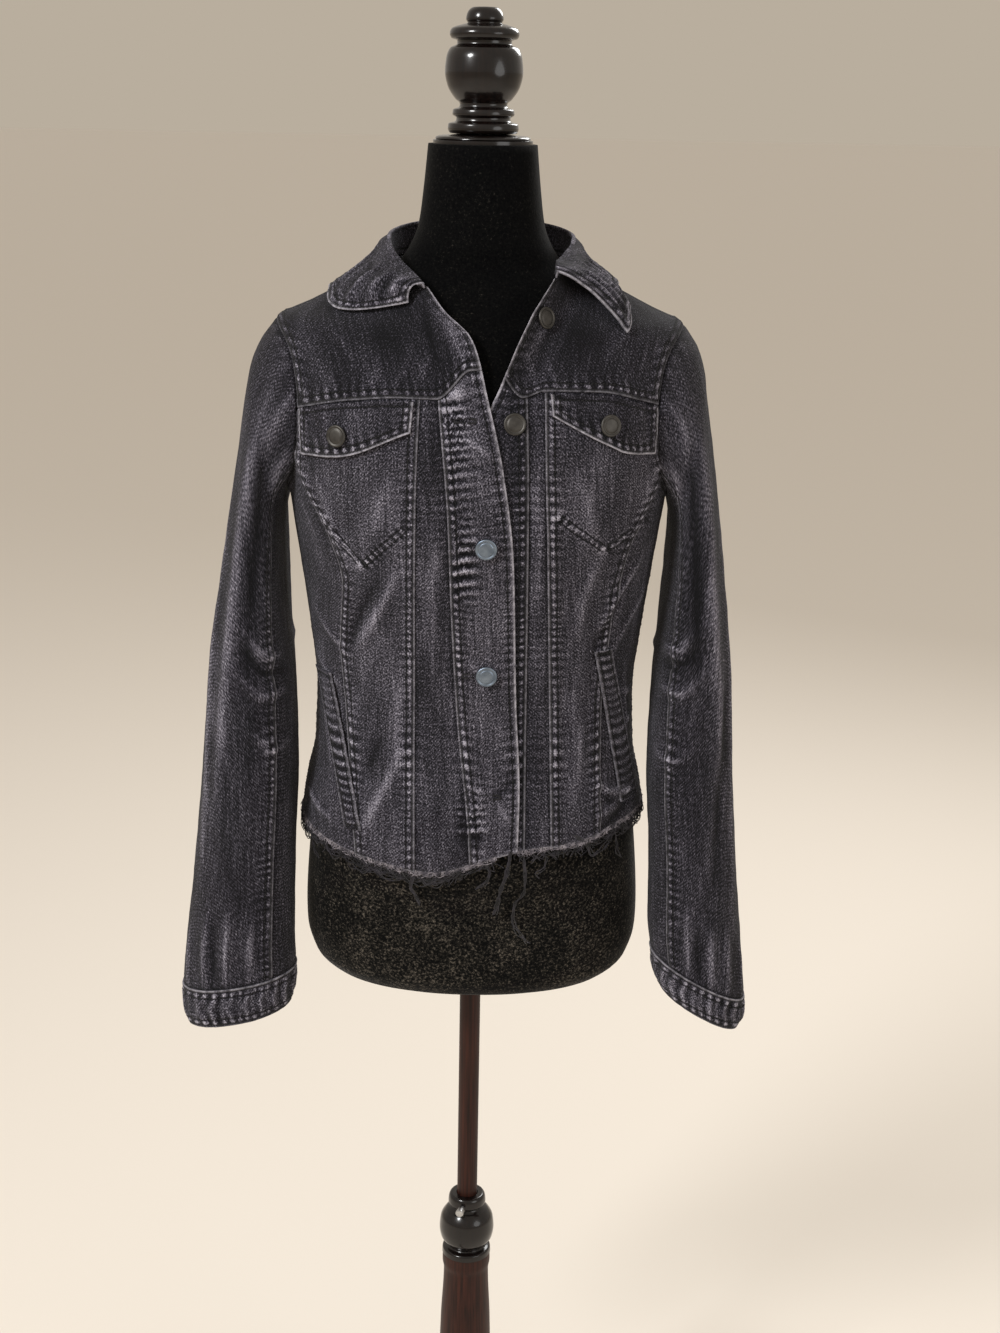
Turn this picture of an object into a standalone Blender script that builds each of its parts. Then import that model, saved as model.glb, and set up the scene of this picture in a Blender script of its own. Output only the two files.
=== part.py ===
"""A cropped denim jacket with a raw hem on a velvet dress form, on a turned wooden tripod stand.

Metres, +Z up. The origin is on the floor under the pole. The front faces -Y and +X is the wearer's left.
The cloth is a wall cut in panels: each panel is a patch of one smooth body surface, or of a sleeve or
the collar, and what lies on a panel is made from the same patch, moved out.
"""

import math
from collections import namedtuple

import bmesh
import bpy
import numpy as np
from mathutils import Matrix, Vector

# Driving dimensions
CLOTH = 0.0018  # wall of the denim
DOUBLE = 0.0024  # wall where the denim is folded double: plackets, flaps, collar
SEAM = 0.0004  # gap between two panels at a seam
LAP = 0.0036  # how far the under placket lies below the over placket
LIFT = 0.0005  # gap under a piece that lies on a panel
BUTTON_RADIUS = 0.0098
SHANK = 0.0004  # how far a front button stands off its placket
LOOSE_SEAM = 0.0015  # gap where two pieces meet with facets of different lengths
SLEEVE_START = 0.0015  # how far outside the armhole the sleeve starts
POCKET_ROWS = 12  # rows of facets up a pocket panel
BELOW_ARMHOLE = 10  # those of them that run beside the side panel
FRINGE = 0.016  # reach of the frayed hem
FRINGE_WALL = 0.001
CUFF_LAP = 0.0034  # rise of the cuff's buttoned end over the other
POLE_RADIUS = 0.0104
BORE_RADIUS = 0.0112
POLE_BOTTOM = 0.175
KNOB_TOP = 0.437
COLUMN_FOOT = 0.092
BORE_FLOOR = 0.112
COLLAR_TALL = 0.0697
REST = 0.0003  # gap between two turned pieces that rest on each other
LEG_REACH = 0.285
FOOT_PAD = 0.0083

SIDES = ((-1, "right"), (1, "left"))

# The body of the jacket: half width at the side, depth to the front and to the back, the power of the
# oval, and the ease between the cloth and the dress form. Below the hem and above the neck seam the rows
# belong to the dress form alone.
Section = namedtuple("Section", "z half front back power ease")
SECTIONS = [
    Section(0.7000, 0.1180, 0.0700, 0.0740, 2.20, 0.0000),
    Section(0.7060, 0.1380, 0.0830, 0.0870, 2.20, 0.0000),
    Section(0.7250, 0.1570, 0.0950, 0.0990, 2.20, 0.0000),
    Section(0.7550, 0.1650, 0.1010, 0.1060, 2.25, 0.0000),
    Section(0.8000, 0.1665, 0.1090, 0.1140, 2.30, 0.0020),
    Section(0.8600, 0.1665, 0.1240, 0.1240, 2.30, 0.0070),
    Section(0.9000, 0.1620, 0.1190, 0.1170, 2.30, 0.0120),
    Section(0.9450, 0.1530, 0.1110, 0.1070, 2.25, 0.0150),
    Section(1.0000, 0.1510, 0.1070, 0.1000, 2.20, 0.0190),
    Section(1.0600, 0.1570, 0.1120, 0.0980, 2.20, 0.0180),
    Section(1.1200, 0.1650, 0.1220, 0.1010, 2.20, 0.0150),
    Section(1.1800, 0.1735, 0.1310, 0.1070, 2.25, 0.0120),
    Section(1.2400, 0.1815, 0.1330, 0.1130, 2.30, 0.0090),
    Section(1.2900, 0.1885, 0.1240, 0.1150, 2.30, 0.0060),
    Section(1.3200, 0.1910, 0.1130, 0.1120, 2.25, 0.0030),
    Section(1.3360, 0.1895, 0.1050, 0.1080, 2.20, 0.0030),
    Section(1.3465, 0.1830, 0.0990, 0.1050, 2.15, 0.0030),
    Section(1.3600, 0.1560, 0.0900, 0.1000, 2.10, 0.0036),
    Section(1.3770, 0.1220, 0.0790, 0.0930, 2.05, 0.0034),
    Section(1.3985, 0.0790, 0.0660, 0.0820, 2.00, 0.0022),
    Section(1.4150, 0.0645, 0.0630, 0.0700, 2.00, 0.0000),
    Section(1.4320, 0.0583, 0.0600, 0.0620, 2.00, 0.0000),
    Section(1.4600, 0.0545, 0.0560, 0.0560, 2.00, 0.0000),
    Section(1.5000, 0.0505, 0.0505, 0.0505, 2.00, 0.0000),
]

# Heights of the level seams by the direction they face: 0 is the front, 90 the wearer's left side,
# -90 the right side and 180 the back.
HEM = [
    (-180, 0.868),
    (-135, 0.866),
    (-90, 0.874),
    (-51, 0.861),
    (-29, 0.852),
    (-17, 0.849),
    (8, 0.865),
    (25, 0.873),
    (44, 0.876),
    (64, 0.886),
    (90, 0.888),
    (135, 0.872),
    (180, 0.868),
]
BACK_YOKE = [(90, 1.268), (120, 1.264), (180, 1.259)]

# The front seams, by side: -1 is the wearer's right front, which laps over, and 1 the left, which laps
# under. Each row is (height, distance from the middle towards that side).
EDGE = {
    -1: [(0.84, -0.043), (0.92, -0.0445), (1.015, -0.0395), (1.15, -0.0345), (1.233, -0.0235),
         (1.296, -0.0085), (1.326, 0.000), (1.340, 0.0072), (1.357, 0.0275), (1.3765, 0.043)],
    1: [(0.84, -0.010), (1.20, -0.008), (1.26, 0.002), (1.304, 0.020), (1.345, 0.040), (1.3785, 0.0596)],
}
PLACKET_SEAM = {
    -1: [(0.84, -0.001), (0.90, 0.003), (0.995, 0.0135), (1.093, 0.0195), (1.187, 0.0235), (1.30, 0.034)],
    1: [(0.84, 0.050), (1.20, 0.046), (1.31, 0.043)],
}
INNER_SEAM = {
    -1: [(0.84, 0.052), (1.00, 0.0537), (1.19, 0.0535), (1.30, 0.0500)],
    1: [(0.84, 0.076), (0.99, 0.0708), (1.19, 0.0635), (1.30, 0.0595)],
}
OUTER_SEAM = {
    -1: [(0.84, 0.106), (1.00, 0.118), (1.06, 0.122), (1.12, 0.119), (1.16, 0.130), (1.215, 0.160)],
    1: [(0.84, 0.122), (1.00, 0.118), (1.06, 0.122), (1.14, 0.134), (1.215, 0.166)],
}
YOKE = {
    -1: [(-4, 1.3145), (3, 1.3145), (16, 1.2915), (29, 1.2915), (46, 1.287), (63, 1.276), (75, 1.268)],
    1: [(3, 1.3125), (9, 1.3125), (18, 1.2945), (26, 1.2995), (45, 1.298), (58, 1.289), (75, 1.274)],
}
NECK_CORNER = {-1: (30.0, 1.3765), 1: (41.0, 1.3785)}
NECK_SIDE = (90.0, 1.3985)
NECK_BACK = (180.0, 1.3965)

# The armhole: an oval on the body surface
ARMHOLE_Z = 1.2715
ARMHOLE_RISE = 0.0735
ARMHOLE_SPREAD = 26.0
ARMHOLE_POWER = 2.3
SHOULDER_TIP = (90.0, ARMHOLE_Z + ARMHOLE_RISE)

# The fronts open in a V above the top fastened button, and there the edges roll outwards.
Roll = namedtuple("Roll", "start full height width")
ROLL = {-1: Roll(1.285, 1.335, 0.010, 0.036), 1: Roll(1.295, 1.340, 0.019, 0.030)}

# The sleeves, ring by ring: the outer and the inner point, the middle's y and the half depth
Ring = namedtuple("Ring", "at out_x out_z in_x in_z mid_y depth")
SLEEVE = {
    -1: [
        Ring(0.00, 0.1915, 1.3450, 0.1785, 1.1980, 0.000, 0.058),
        Ring(0.08, 0.2040, 1.3230, 0.1800, 1.1780, 0.000, 0.063),
        Ring(0.18, 0.2120, 1.2880, 0.1810, 1.1500, -0.001, 0.068),
        Ring(0.32, 0.2255, 1.1950, 0.1800, 1.1100, -0.004, 0.071),
        Ring(0.44, 0.2380, 1.1120, 0.1770, 1.0600, -0.010, 0.070),
        Ring(0.56, 0.2510, 1.0300, 0.1710, 1.0050, -0.018, 0.065),
        Ring(0.70, 0.2590, 0.9250, 0.1685, 0.9180, -0.030, 0.058),
        Ring(0.84, 0.2690, 0.8180, 0.1710, 0.8300, -0.042, 0.051),
        Ring(0.94, 0.2775, 0.7420, 0.1715, 0.7600, -0.051, 0.045),
        Ring(1.00, 0.2800, 0.7060, 0.1705, 0.7260, -0.056, 0.042),
        Ring(1.04, 0.2790, 0.6840, 0.1720, 0.7050, -0.058, 0.042),
        Ring(1.07, 0.2760, 0.6680, 0.1750, 0.6890, -0.060, 0.040),
    ],
    1: [
        Ring(0.00, 0.1915, 1.3450, 0.1785, 1.1980, 0.000, 0.058),
        Ring(0.08, 0.2030, 1.3230, 0.1800, 1.1780, 0.000, 0.063),
        Ring(0.18, 0.2080, 1.2880, 0.1810, 1.1500, -0.001, 0.068),
        Ring(0.32, 0.2225, 1.1950, 0.1790, 1.1100, -0.004, 0.071),
        Ring(0.44, 0.2320, 1.1120, 0.1740, 1.0620, -0.010, 0.070),
        Ring(0.56, 0.2420, 1.0250, 0.1690, 1.0120, -0.018, 0.064),
        Ring(0.70, 0.2500, 0.9100, 0.1665, 0.9300, -0.030, 0.056),
        Ring(0.84, 0.2590, 0.8050, 0.1710, 0.8480, -0.042, 0.049),
        Ring(0.94, 0.2660, 0.7380, 0.1720, 0.7850, -0.051, 0.043),
        Ring(1.00, 0.2690, 0.7020, 0.1755, 0.7520, -0.056, 0.040),
        Ring(1.04, 0.2680, 0.6850, 0.1800, 0.7320, -0.058, 0.040),
        Ring(1.07, 0.2640, 0.6720, 0.1840, 0.7160, -0.060, 0.038),
    ],
}
# Where the two halves of a sleeve meet, in degrees round it from the top towards the front
SLEEVE_SEAMS = (128.0, 262.0)
SLEEVE_BLEND = 0.16  # share of its length over which the sleeve leaves the armhole's shape
CUFF_SEAM = 262.0
CUFF_OVERLAP = 26.0

# The collar by stations from the wearer's right corner round the neck: the direction and height of the
# neck seam, the height of the stand, and the direction and height of the leaf's edge.
Station = namedtuple("Station", "at neck_way neck_z stand lean edge_way edge_z")
COLLAR = [
    Station(0.00, -31.0, 1.3755, 0.004, 0.002, -37.0, 1.3650),
    Station(0.10, -45.0, 1.3850, 0.010, 0.002, -59.5, 1.3560),
    Station(0.24, -88.0, 1.3985, 0.0200, 0.003, -87.0, 1.3700),
    Station(0.38, -135.0, 1.3990, 0.0280, 0.003, -133.0, 1.3690),
    Station(0.50, -180.0, 1.3965, 0.0330, 0.003, -180.0, 1.3650),
    Station(0.62, -225.0, 1.3990, 0.0280, 0.003, -227.0, 1.3690),
    Station(0.76, -272.0, 1.3985, 0.0200, 0.003, -274.0, 1.3765),
    Station(0.90, -312.0, 1.3870, 0.012, 0.002, -291.0, 1.3600),
    Station(1.00, -318.5, 1.3785, 0.006, 0.002, -301.0, 1.3430),
]
COLLAR_FOLD = 0.44  # share of the collar's width that stands
COLLAR_BULGE = 0.006
COLLAR_OFF = 0.0017  # how far the collar stands off the yokes at the neck seam
EDGE_OFF = 0.0052  # and at the leaf's edge

# The flaps' ends as shares of the pocket panel's top, and their drop along them
FLAP_SPAN = {-1: (0.035, 0.965), 1: (0.03, 0.97)}
FLAP_DROP = {-1: [(0, 0.026), (0.5, 0.045), (0.62, 0.0465), (1, 0.040)],
             1: [(0, 0.018), (0.55, 0.044), (0.65, 0.0465), (1, 0.041)]}
FLAP_TOP = 0.992
# The welts' upper and lower ends, each (height, distance from the middle)
WELT = {-1: ((1.026, 0.1385), (0.884, 0.1090)), 1: ((1.058, 0.1165), (0.905, 0.1460))}
WELT_WIDTH = 0.016
WELT_LIFT = 0.0013  # it crosses a seam, so it lies less close than a flap
FRINGE_ENDS = (20.5, 370.0)


def through(rows):
    """A smooth curve through the rows, each a place and what holds there, without overshoot."""
    rows = np.array(rows, float)
    place, value = rows[:, 0], rows[:, 1:]
    step = np.diff(place)[:, None]
    slope = np.diff(value, axis=0) / step
    before, after = slope[:-1], slope[1:]
    same = before * after > 0
    inner = np.where(same, 2 * before * after / np.where(same, before + after, 1), 0)
    tangent = np.vstack([slope[:1], inner, slope[-1:]])

    def at(x):
        x = np.clip(np.asarray(x, float), place[0], place[-1])
        i = np.clip(np.searchsorted(place, x, side="right") - 1, 0, len(step) - 1)
        u = ((x - place[i]) / step[i, 0])[..., None]
        h = step[i]
        start = (2 * u**3 - 3 * u**2 + 1) * value[i] + (u**3 - 2 * u**2 + u) * h * tangent[i]
        end = (3 * u**2 - 2 * u**3) * value[i + 1] + (u**3 - u**2) * h * tangent[i + 1]
        return start + end

    return at


def fade(x, low, high):
    """0 below low, 1 above high, smooth between."""
    u = np.clip((x - low) / (high - low), 0, 1)
    return u * u * (3 - 2 * u)


section_at = through(SECTIONS)
collar_at = through(COLLAR)
sleeve_at = {side: through(rows) for side, rows in SLEEVE.items()}
level_of = {"hem": through(HEM), "back": through(BACK_YOKE)}
level_of.update({("yoke", side): through(rows) for side, rows in YOKE.items()})
FRONT_SEAMS = {"edge": EDGE, "placket": PLACKET_SEAM, "inner": INNER_SEAM, "outer": OUTER_SEAM}
across_of = {
    (name, side): through(rows) for name, table in FRONT_SEAMS.items() for side, rows in table.items()
}


def level(name, way):
    return level_of[name](way)[..., 0]


def body(way, z):
    """The outer face of the jacket's body at a direction, in degrees from the front, and a height."""
    way, z = np.broadcast_arrays(np.asarray(way, float), np.asarray(z, float))
    half, front, back, power, _ = np.moveaxis(section_at(z), -1, 0)
    s, c = np.sin(np.radians(way)), np.cos(np.radians(way))
    depth = np.where(c > 0, front, back)
    reach = ((np.abs(s) / half) ** power + (np.abs(c) / depth) ** power) ** (-1 / power)
    return np.stack([reach * s, -reach * c, z], axis=-1)


def unit(v):
    return v / np.linalg.norm(v, axis=-1, keepdims=True)


def outward(way, z):
    turn, rise = 0.5, 0.0005
    along = body(way + turn, z) - body(way - turn, z)
    up = body(way, z + rise) - body(way, z - rise)
    return unit(np.cross(along, up))


def facing(x, z):
    """The direction of the front's point at x and z."""
    half, front, _, power, _ = np.moveaxis(section_at(z), -1, 0)
    depth = front * (1 - np.clip(np.abs(x) / half, 0, 1) ** power) ** (1 / power)
    return np.degrees(np.arctan2(x, depth))


def seam_way(name, side, z):
    """The direction of a front seam at a height, counted towards its side."""
    return facing(across_of[name, side](z)[..., 0], z)


def front_height(side, way, z):
    """How far a front stands off the body surface: the under front sinks, and the edges roll out."""
    x = side * body(side * way, z)[..., 0]
    roll = ROLL[side]
    inland = np.clip(1 - (x - across_of["edge", side](z)[..., 0]) / roll.width, 0, 1)
    height = roll.height * fade(z, roll.start, roll.full) * inland**2
    if side == 1:
        height = height - LAP * (1 - fade(x, 0.046, 0.064)) * (1 - fade(z, 1.300, 1.335))
    return height


def placed_front(side, patch, lift=0.0):
    """A surface for cloth(): a patch of directions and heights, on the front of one side."""

    def place(s, t, height):
        way, z = patch(s, t)
        off = height + lift + front_height(side, way, z)
        return body(side * way, z) + outward(side * way, z) * off[..., None]

    return place


def placed_back(patch, lift=0.0):
    def place(s, t, height):
        way, z = patch(s, t)
        return body(way, z) + outward(way, z) * (height + lift)[..., None]

    return place


def coons(bottom, top, left, right):
    """The patch inside four curves of (direction, height)."""

    def patch(s, t):
        low, high, near, far = np.array(bottom(s)), np.array(top(s)), np.array(left(t)), np.array(right(t))
        ends = np.zeros_like(s), np.ones_like(s)
        corners = [np.array(curve(end)) for curve in (bottom, top) for end in ends]
        blend = (1 - t) * low + t * high + (1 - s) * near + s * far
        blend -= (1 - s) * (1 - t) * corners[0] + s * (1 - t) * corners[1]
        blend -= (1 - s) * t * corners[2] + s * t * corners[3]
        return blend[0], blend[1]

    return patch


def straight(a, b):
    return lambda u: (a[0] + (b[0] - a[0]) * u, a[1] + (b[1] - a[1]) * u)


def joined(first, second, share):
    """Two curves run one after the other, the first taking this share of the parameter."""

    def curve(u):
        early, late = first(np.clip(u / share, 0, 1)), second(np.clip((u - share) / (1 - share), 0, 1))
        return tuple(np.where(u < share, a, b) for a, b in zip(early, late))

    return curve


def seam_run(name, side, low, high):
    """Up a front seam from one height to another."""
    return lambda u: (seam_way(name, side, low + (high - low) * u), low + (high - low) * u)


def level_run(name, start, end):
    """Along a level seam from one direction to another."""
    return lambda u: (start + (end - start) * u, level(name, start + (end - start) * u))


def hem_run(side, start, end):
    return lambda u: (start + (end - start) * u, level("hem", side * (start + (end - start) * u)))


def armhole(turn):
    """The armhole by its turn in degrees: 0 at the shoulder tip, 90 at the front, 180 under the arm."""
    s, c = np.sin(np.radians(turn)), np.cos(np.radians(turn))
    share = 2 / ARMHOLE_POWER
    way = 90 - ARMHOLE_SPREAD * np.sign(s) * np.abs(s) ** share
    return way, ARMHOLE_Z + ARMHOLE_RISE * np.sign(c) * np.abs(c) ** share


def armhole_turn(z):
    c = (z - ARMHOLE_Z) / ARMHOLE_RISE
    return math.degrees(math.acos(math.copysign(abs(c) ** (ARMHOLE_POWER / 2), c)))


def armhole_run(start, end):
    return lambda u: armhole(start + (end - start) * u)


def crossing(name, side, level_name):
    """The height at which a front seam meets a level seam."""
    z = 1.29 if level_name != "hem" else 0.87
    for _ in range(30):
        way = seam_way(name, side, z)
        z = float(level(level_name, side * way if level_name == "hem" else way))
    return z


def yoke_turn(side):
    """The armhole's turn where the front yoke's seam meets it."""
    z = 1.275
    for _ in range(30):
        way, _ = armhole(armhole_turn(z))
        z = float(level(("yoke", side), way))
    return armhole_turn(z)


def outer_turn(side):
    """The armhole's turn where the outer front seam starts."""
    turns = np.linspace(95, 175, 400)
    way, z = armhole(turns)
    return float(turns[np.argmin(np.abs(seam_way("outer", side, z) - way))])


def front_patches(side):
    """The patches of one front, by name."""
    hem = {name: crossing(name, side, "hem") for name in ("edge", "placket", "inner", "outer")}
    yoke = {name: crossing(name, side, ("yoke", side)) for name in ("edge", "placket", "inner")}
    ways = {name: float(seam_way(name, side, z)) for name, z in hem.items()}
    tops = {name: float(seam_way(name, side, z)) for name, z in yoke.items()}
    at_yoke, at_outer = yoke_turn(side), outer_turn(side)
    outer_z = float(armhole(at_outer)[1])
    yoke_way = float(armhole(at_yoke)[0])

    def strip(inner, outer):
        return coons(
            hem_run(side, ways[inner], ways[outer]),
            level_run(("yoke", side), tops[inner], tops[outer]),
            seam_run(inner, side, hem[inner], yoke[inner]),
            seam_run(outer, side, hem[outer], yoke[outer]),
        )

    rise = joined(
        seam_run("outer", side, hem["outer"], outer_z),
        armhole_run(at_outer, at_yoke),
        BELOW_ARMHOLE / POCKET_ROWS,
    )
    corner = NECK_CORNER[side]
    neck = through([(0, *corner), (0.45, 60, 1.3905), (1, *NECK_SIDE)])
    return {
        "placket": strip("edge", "placket"),
        "centre": strip("placket", "inner"),
        "pocket": coons(
            hem_run(side, ways["inner"], ways["outer"]),
            level_run(("yoke", side), tops["inner"], yoke_way),
            seam_run("inner", side, hem["inner"], yoke["inner"]),
            rise,
        ),
        "side": coons(
            hem_run(side, ways["outer"], 90),
            armhole_run(at_outer, 180),
            seam_run("outer", side, hem["outer"], outer_z),
            straight((90, float(level("hem", side * 90))), (90, float(armhole(180)[1]))),
        ),
        "yoke": coons(
            level_run(("yoke", side), tops["edge"], yoke_way),
            joined(lambda u: tuple(np.moveaxis(neck(u), -1, 0)), straight(NECK_SIDE, SHOULDER_TIP), 0.5),
            seam_run("edge", side, yoke["edge"], corner[1]),
            armhole_run(at_yoke, 0),
        ),
    }


def back_patches():
    """The patches of the back by name. Directions run from 90, the wearer's left side, to 270."""
    yoke_z = float(level("back", 90 + ARMHOLE_SPREAD))
    at_yoke = 360 - armhole_turn(yoke_z)
    seam_top, seam_foot = 136.0, 152.0

    def mirrored(curve):
        return lambda u: (360 - curve(u)[0], curve(u)[1])

    def hem(u, start, end):
        way = start + (end - start) * u
        return way, level("hem", np.where(way > 180, way - 360, way))

    def back_yoke(start, end):
        def curve(u):
            way = start + (end - start) * u
            return way, level("back", np.where(way > 180, 360 - way, way))

        return curve

    def side_seam(u):
        foot, top = float(hem(0, seam_foot, seam_foot)[1]), float(level("back", seam_top))
        shape = through([(0, seam_foot, foot), (0.45, 147, 1.05), (0.8, 140, 1.19), (1, seam_top, top)])
        return tuple(np.moveaxis(shape(u), -1, 0))

    def right_seam(u):
        way, z = side_seam(u)
        foot = hem(1, 360 - seam_foot, 360 - seam_foot)[1]
        return 360 - way, z + (foot - hem(0, seam_foot, seam_foot)[1]) * (1 - u)

    arm = armhole_run(at_yoke, 360)
    neck = through([(0, *NECK_SIDE), (0.5, 135, 1.3995), (1, *NECK_BACK)])
    half_neck = lambda u: tuple(np.moveaxis(neck(u), -1, 0))
    full_neck = joined(half_neck, lambda u: (360 - half_neck(1 - u)[0], half_neck(1 - u)[1]), 0.5)
    to_neck = straight(SHOULDER_TIP, NECK_SIDE)
    from_neck = lambda u: (360 - to_neck(1 - u)[0], to_neck(1 - u)[1])
    side_top = joined(
        armhole_run(180, at_yoke),
        back_yoke(float(armhole(at_yoke)[0]), seam_top),
        0.62,
    )
    return {
        "back_yoke": coons(
            back_yoke(float(armhole(at_yoke)[0]), 360 - float(armhole(at_yoke)[0])),
            joined(joined(to_neck, full_neck, 0.4), from_neck, 0.72),
            arm,
            mirrored(arm),
        ),
        "back_centre": coons(
            lambda u: hem(u, seam_foot, 360 - seam_foot),
            back_yoke(seam_top, 360 - seam_top),
            side_seam,
            right_seam,
        ),
        "back_side_left": coons(
            lambda u: hem(u, 90, seam_foot),
            side_top,
            straight((90, float(level("hem", 90))), (90, float(armhole(180)[1]))),
            side_seam,
        ),
        "back_side_right": coons(
            lambda u: hem(u, 270, 360 - seam_foot),
            mirrored(side_top),
            straight((270, float(level("hem", -90))), (270, float(armhole(180)[1]))),
            right_seam,
        ),
    }


def round_sleeve_ring(side, across, along):
    """The sleeve's first ring as an oval."""
    out_x, out_z, in_x, in_z, mid_y, depth = SLEEVE[side][0][1:]
    x = (out_x + in_x) / 2 + (out_x - in_x) / 2 * across
    z = (out_z + in_z) / 2 + (out_z - in_z) / 2 * across
    return np.stack([side * x, mid_y - depth * along, z], axis=-1)


def round_sleeve(side, turn, at):
    """The outer face of a sleeve: turn in degrees from the top towards the front, at along it."""
    turn, at = np.broadcast_arrays(np.asarray(turn, float), np.asarray(at, float))
    out_x, out_z, in_x, in_z, mid_y, depth = np.moveaxis(sleeve_at[side](at), -1, 0)
    s, c = np.sin(np.radians(turn)), np.cos(np.radians(turn))
    across = np.sign(c) * np.abs(c) ** 0.92
    along = np.sign(s) * np.abs(s) ** 0.92
    x = (out_x + in_x) / 2 + (out_x - in_x) / 2 * across
    z = (out_z + in_z) / 2 + (out_z - in_z) / 2 * across
    tube = np.stack([side * x, mid_y - depth * along, z], axis=-1)
    if not (at < SLEEVE_BLEND).any():
        return tube
    # Near the shoulder the oval gives way to the armhole's own shape.
    way, height = armhole(turn)
    start = body(side * way, height)
    start[..., 0] += side * SLEEVE_START
    ring = round_sleeve_ring(side, across, along)
    return tube + (start - ring) * (1 - fade(at, 0.0, SLEEVE_BLEND))[..., None]


def sleeve_place(side, first_turn, last_turn, start, end, rise=None):
    def place(s, t, height):
        turn = first_turn + (last_turn - first_turn) * s
        at = start + (end - start) * t
        point = round_sleeve(side, turn, at)
        around = round_sleeve(side, turn + 1, at) - round_sleeve(side, turn - 1, at)
        down = round_sleeve(side, turn, at + 0.004) - round_sleeve(side, turn, at - 0.004)
        normal = unit(np.cross(around, down)) * side
        off = height + (rise(s) if rise else 0)
        return point + normal * off[..., None]

    return place


def collar_spine(at):
    """The collar's neck seam, fold and edge at a station."""
    neck_way, neck_z, stand, lean, edge_way, edge_z = np.moveaxis(collar_at(at), -1, 0)
    corner = np.where(at < 0.5, -1, 1)
    ends = np.clip(1 - np.minimum(at, 1 - at) / 0.18, 0, 1)
    roll = np.zeros_like(neck_z)
    for side in (-1, 1):
        off = front_height(side, np.abs(((neck_way + 180) % 360) - 180), neck_z)
        roll = np.where(corner == side, off * fade(ends, 0, 1), roll)
    side_way = outward(neck_way, neck_z)
    level_way = side_way * np.array([1, 1, 0])
    neck = body(neck_way, neck_z) + side_way * (roll + COLLAR_OFF)[..., None]
    up = np.array([0, 0, 1.0])
    fold = neck + up * stand[..., None] + unit(level_way) * lean[..., None]
    edge = body(edge_way, edge_z) + outward(edge_way, edge_z) * EDGE_OFF
    return neck, fold, edge, unit(level_way)


def collar_point(at, share):
    """The collar's outer face: up the inside of the stand from the neck seam, over the fold and down."""
    neck, fold, edge, level_way = collar_spine(at)
    share = share[..., None]
    up = np.clip(share / COLLAR_FOLD, 0, 1)
    down = np.clip((share - COLLAR_FOLD) / (1 - COLLAR_FOLD), 0, 1)
    tall = np.linalg.norm(fold - neck, axis=-1, keepdims=True)
    stand = neck + (fold - neck) * np.sin(up * np.pi / 2)
    round_over = np.minimum(0.0045 + 0.15 * tall, 0.008) * fade(down, 0, 0.25)
    fall = fold + (edge - fold) * down**1.15
    belly = outward_up(fold, edge) * COLLAR_BULGE * 4 * down * (1 - down)
    return np.where(share < COLLAR_FOLD, stand, fall + level_way * round_over * (1 - down) + belly)


def outward_up(fold, edge):
    """Across the leaf, away from the body."""
    run = unit(edge - fold)
    side = unit(np.cross(run, np.array([0, 0, 1.0])) + 1e-9)
    return unit(np.cross(side, run))


def collar_place(s, t, height):
    d = 0.004
    point = collar_point(s, t)
    low, high = np.clip(s - d, 0, 1), np.clip(s + d, 0, 1)
    under, over = np.clip(t - d, 0, 1), np.clip(t + d, 0, 1)
    around = collar_point(high, t) - collar_point(low, t)
    across = collar_point(s, over) - collar_point(s, under)
    return point + unit(np.cross(around, across)) * height[..., None]


def material(name, colour, roughness, metallic=0.0):
    made = bpy.data.materials.new(name)
    made.use_nodes = True
    shader = made.node_tree.nodes["Principled BSDF"]
    shader.inputs["Base Color"].default_value = (*colour, 1.0)
    shader.inputs["Roughness"].default_value = roughness
    shader.inputs["Metallic"].default_value = metallic
    return made


def add_object(name, bm, finish):
    bmesh.ops.recalc_face_normals(bm, faces=bm.faces)
    if bm.calc_volume(signed=True) < 0:
        bmesh.ops.reverse_faces(bm, faces=bm.faces)
    mesh = bpy.data.meshes.new(name)
    bm.to_mesh(mesh)
    bm.free()
    mesh.materials.append(finish)
    mesh.shade_smooth()
    mesh.set_sharp_from_angle(angle=math.radians(35))
    made = bpy.data.objects.new(name, mesh)
    bpy.context.scene.collection.objects.link(made)
    return made


def cloth(name, place, across, along, wall=CLOTH, finish=None, seam=SEAM):
    """A closed wall of cloth over the unit square, with half a seam gap left on every side."""
    middle, ends = np.full(9, 0.5), np.linspace(0, 1, 9)
    level_height = np.zeros(9)
    wide = np.linalg.norm(np.diff(place(ends, middle, level_height), axis=0), axis=1).sum()
    tall = np.linalg.norm(np.diff(place(middle, ends, level_height), axis=0), axis=1).sum()
    bm = bmesh.new()
    bmesh.ops.create_grid(bm, x_segments=across, y_segments=along, size=0.5)
    grown = bmesh.ops.extrude_face_region(bm, geom=bm.faces[:])
    inside = [v for v in grown["geom"] if isinstance(v, bmesh.types.BMVert)]
    bmesh.ops.translate(bm, verts=inside, vec=(0, 0, 1))
    flat = np.array([v.co for v in bm.verts])
    s = 0.5 + flat[:, 0] * (1 - seam / wide)
    t = 0.5 + flat[:, 1] * (1 - seam / tall)
    for vert, point in zip(bm.verts, place(s, t, -wall * flat[:, 2])):
        vert.co = point
    return add_object(name, bm, finish or DENIM)


def loft(name, rings, finish):
    """A closed solid through rings of points, capped flat at both ends."""
    bm = bmesh.new()
    loops = []
    for ring in rings:
        verts = [bm.verts.new(p) for p in ring]
        loops.append([bm.edges.new((verts[i - 1], verts[i])) for i in range(len(verts))])
    for lower, upper in zip(loops, loops[1:]):
        bmesh.ops.bridge_loops(bm, edges=lower + upper)
    bmesh.ops.holes_fill(bm, edges=loops[0] + loops[-1], sides=0)
    return add_object(name, bm, finish)


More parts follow.
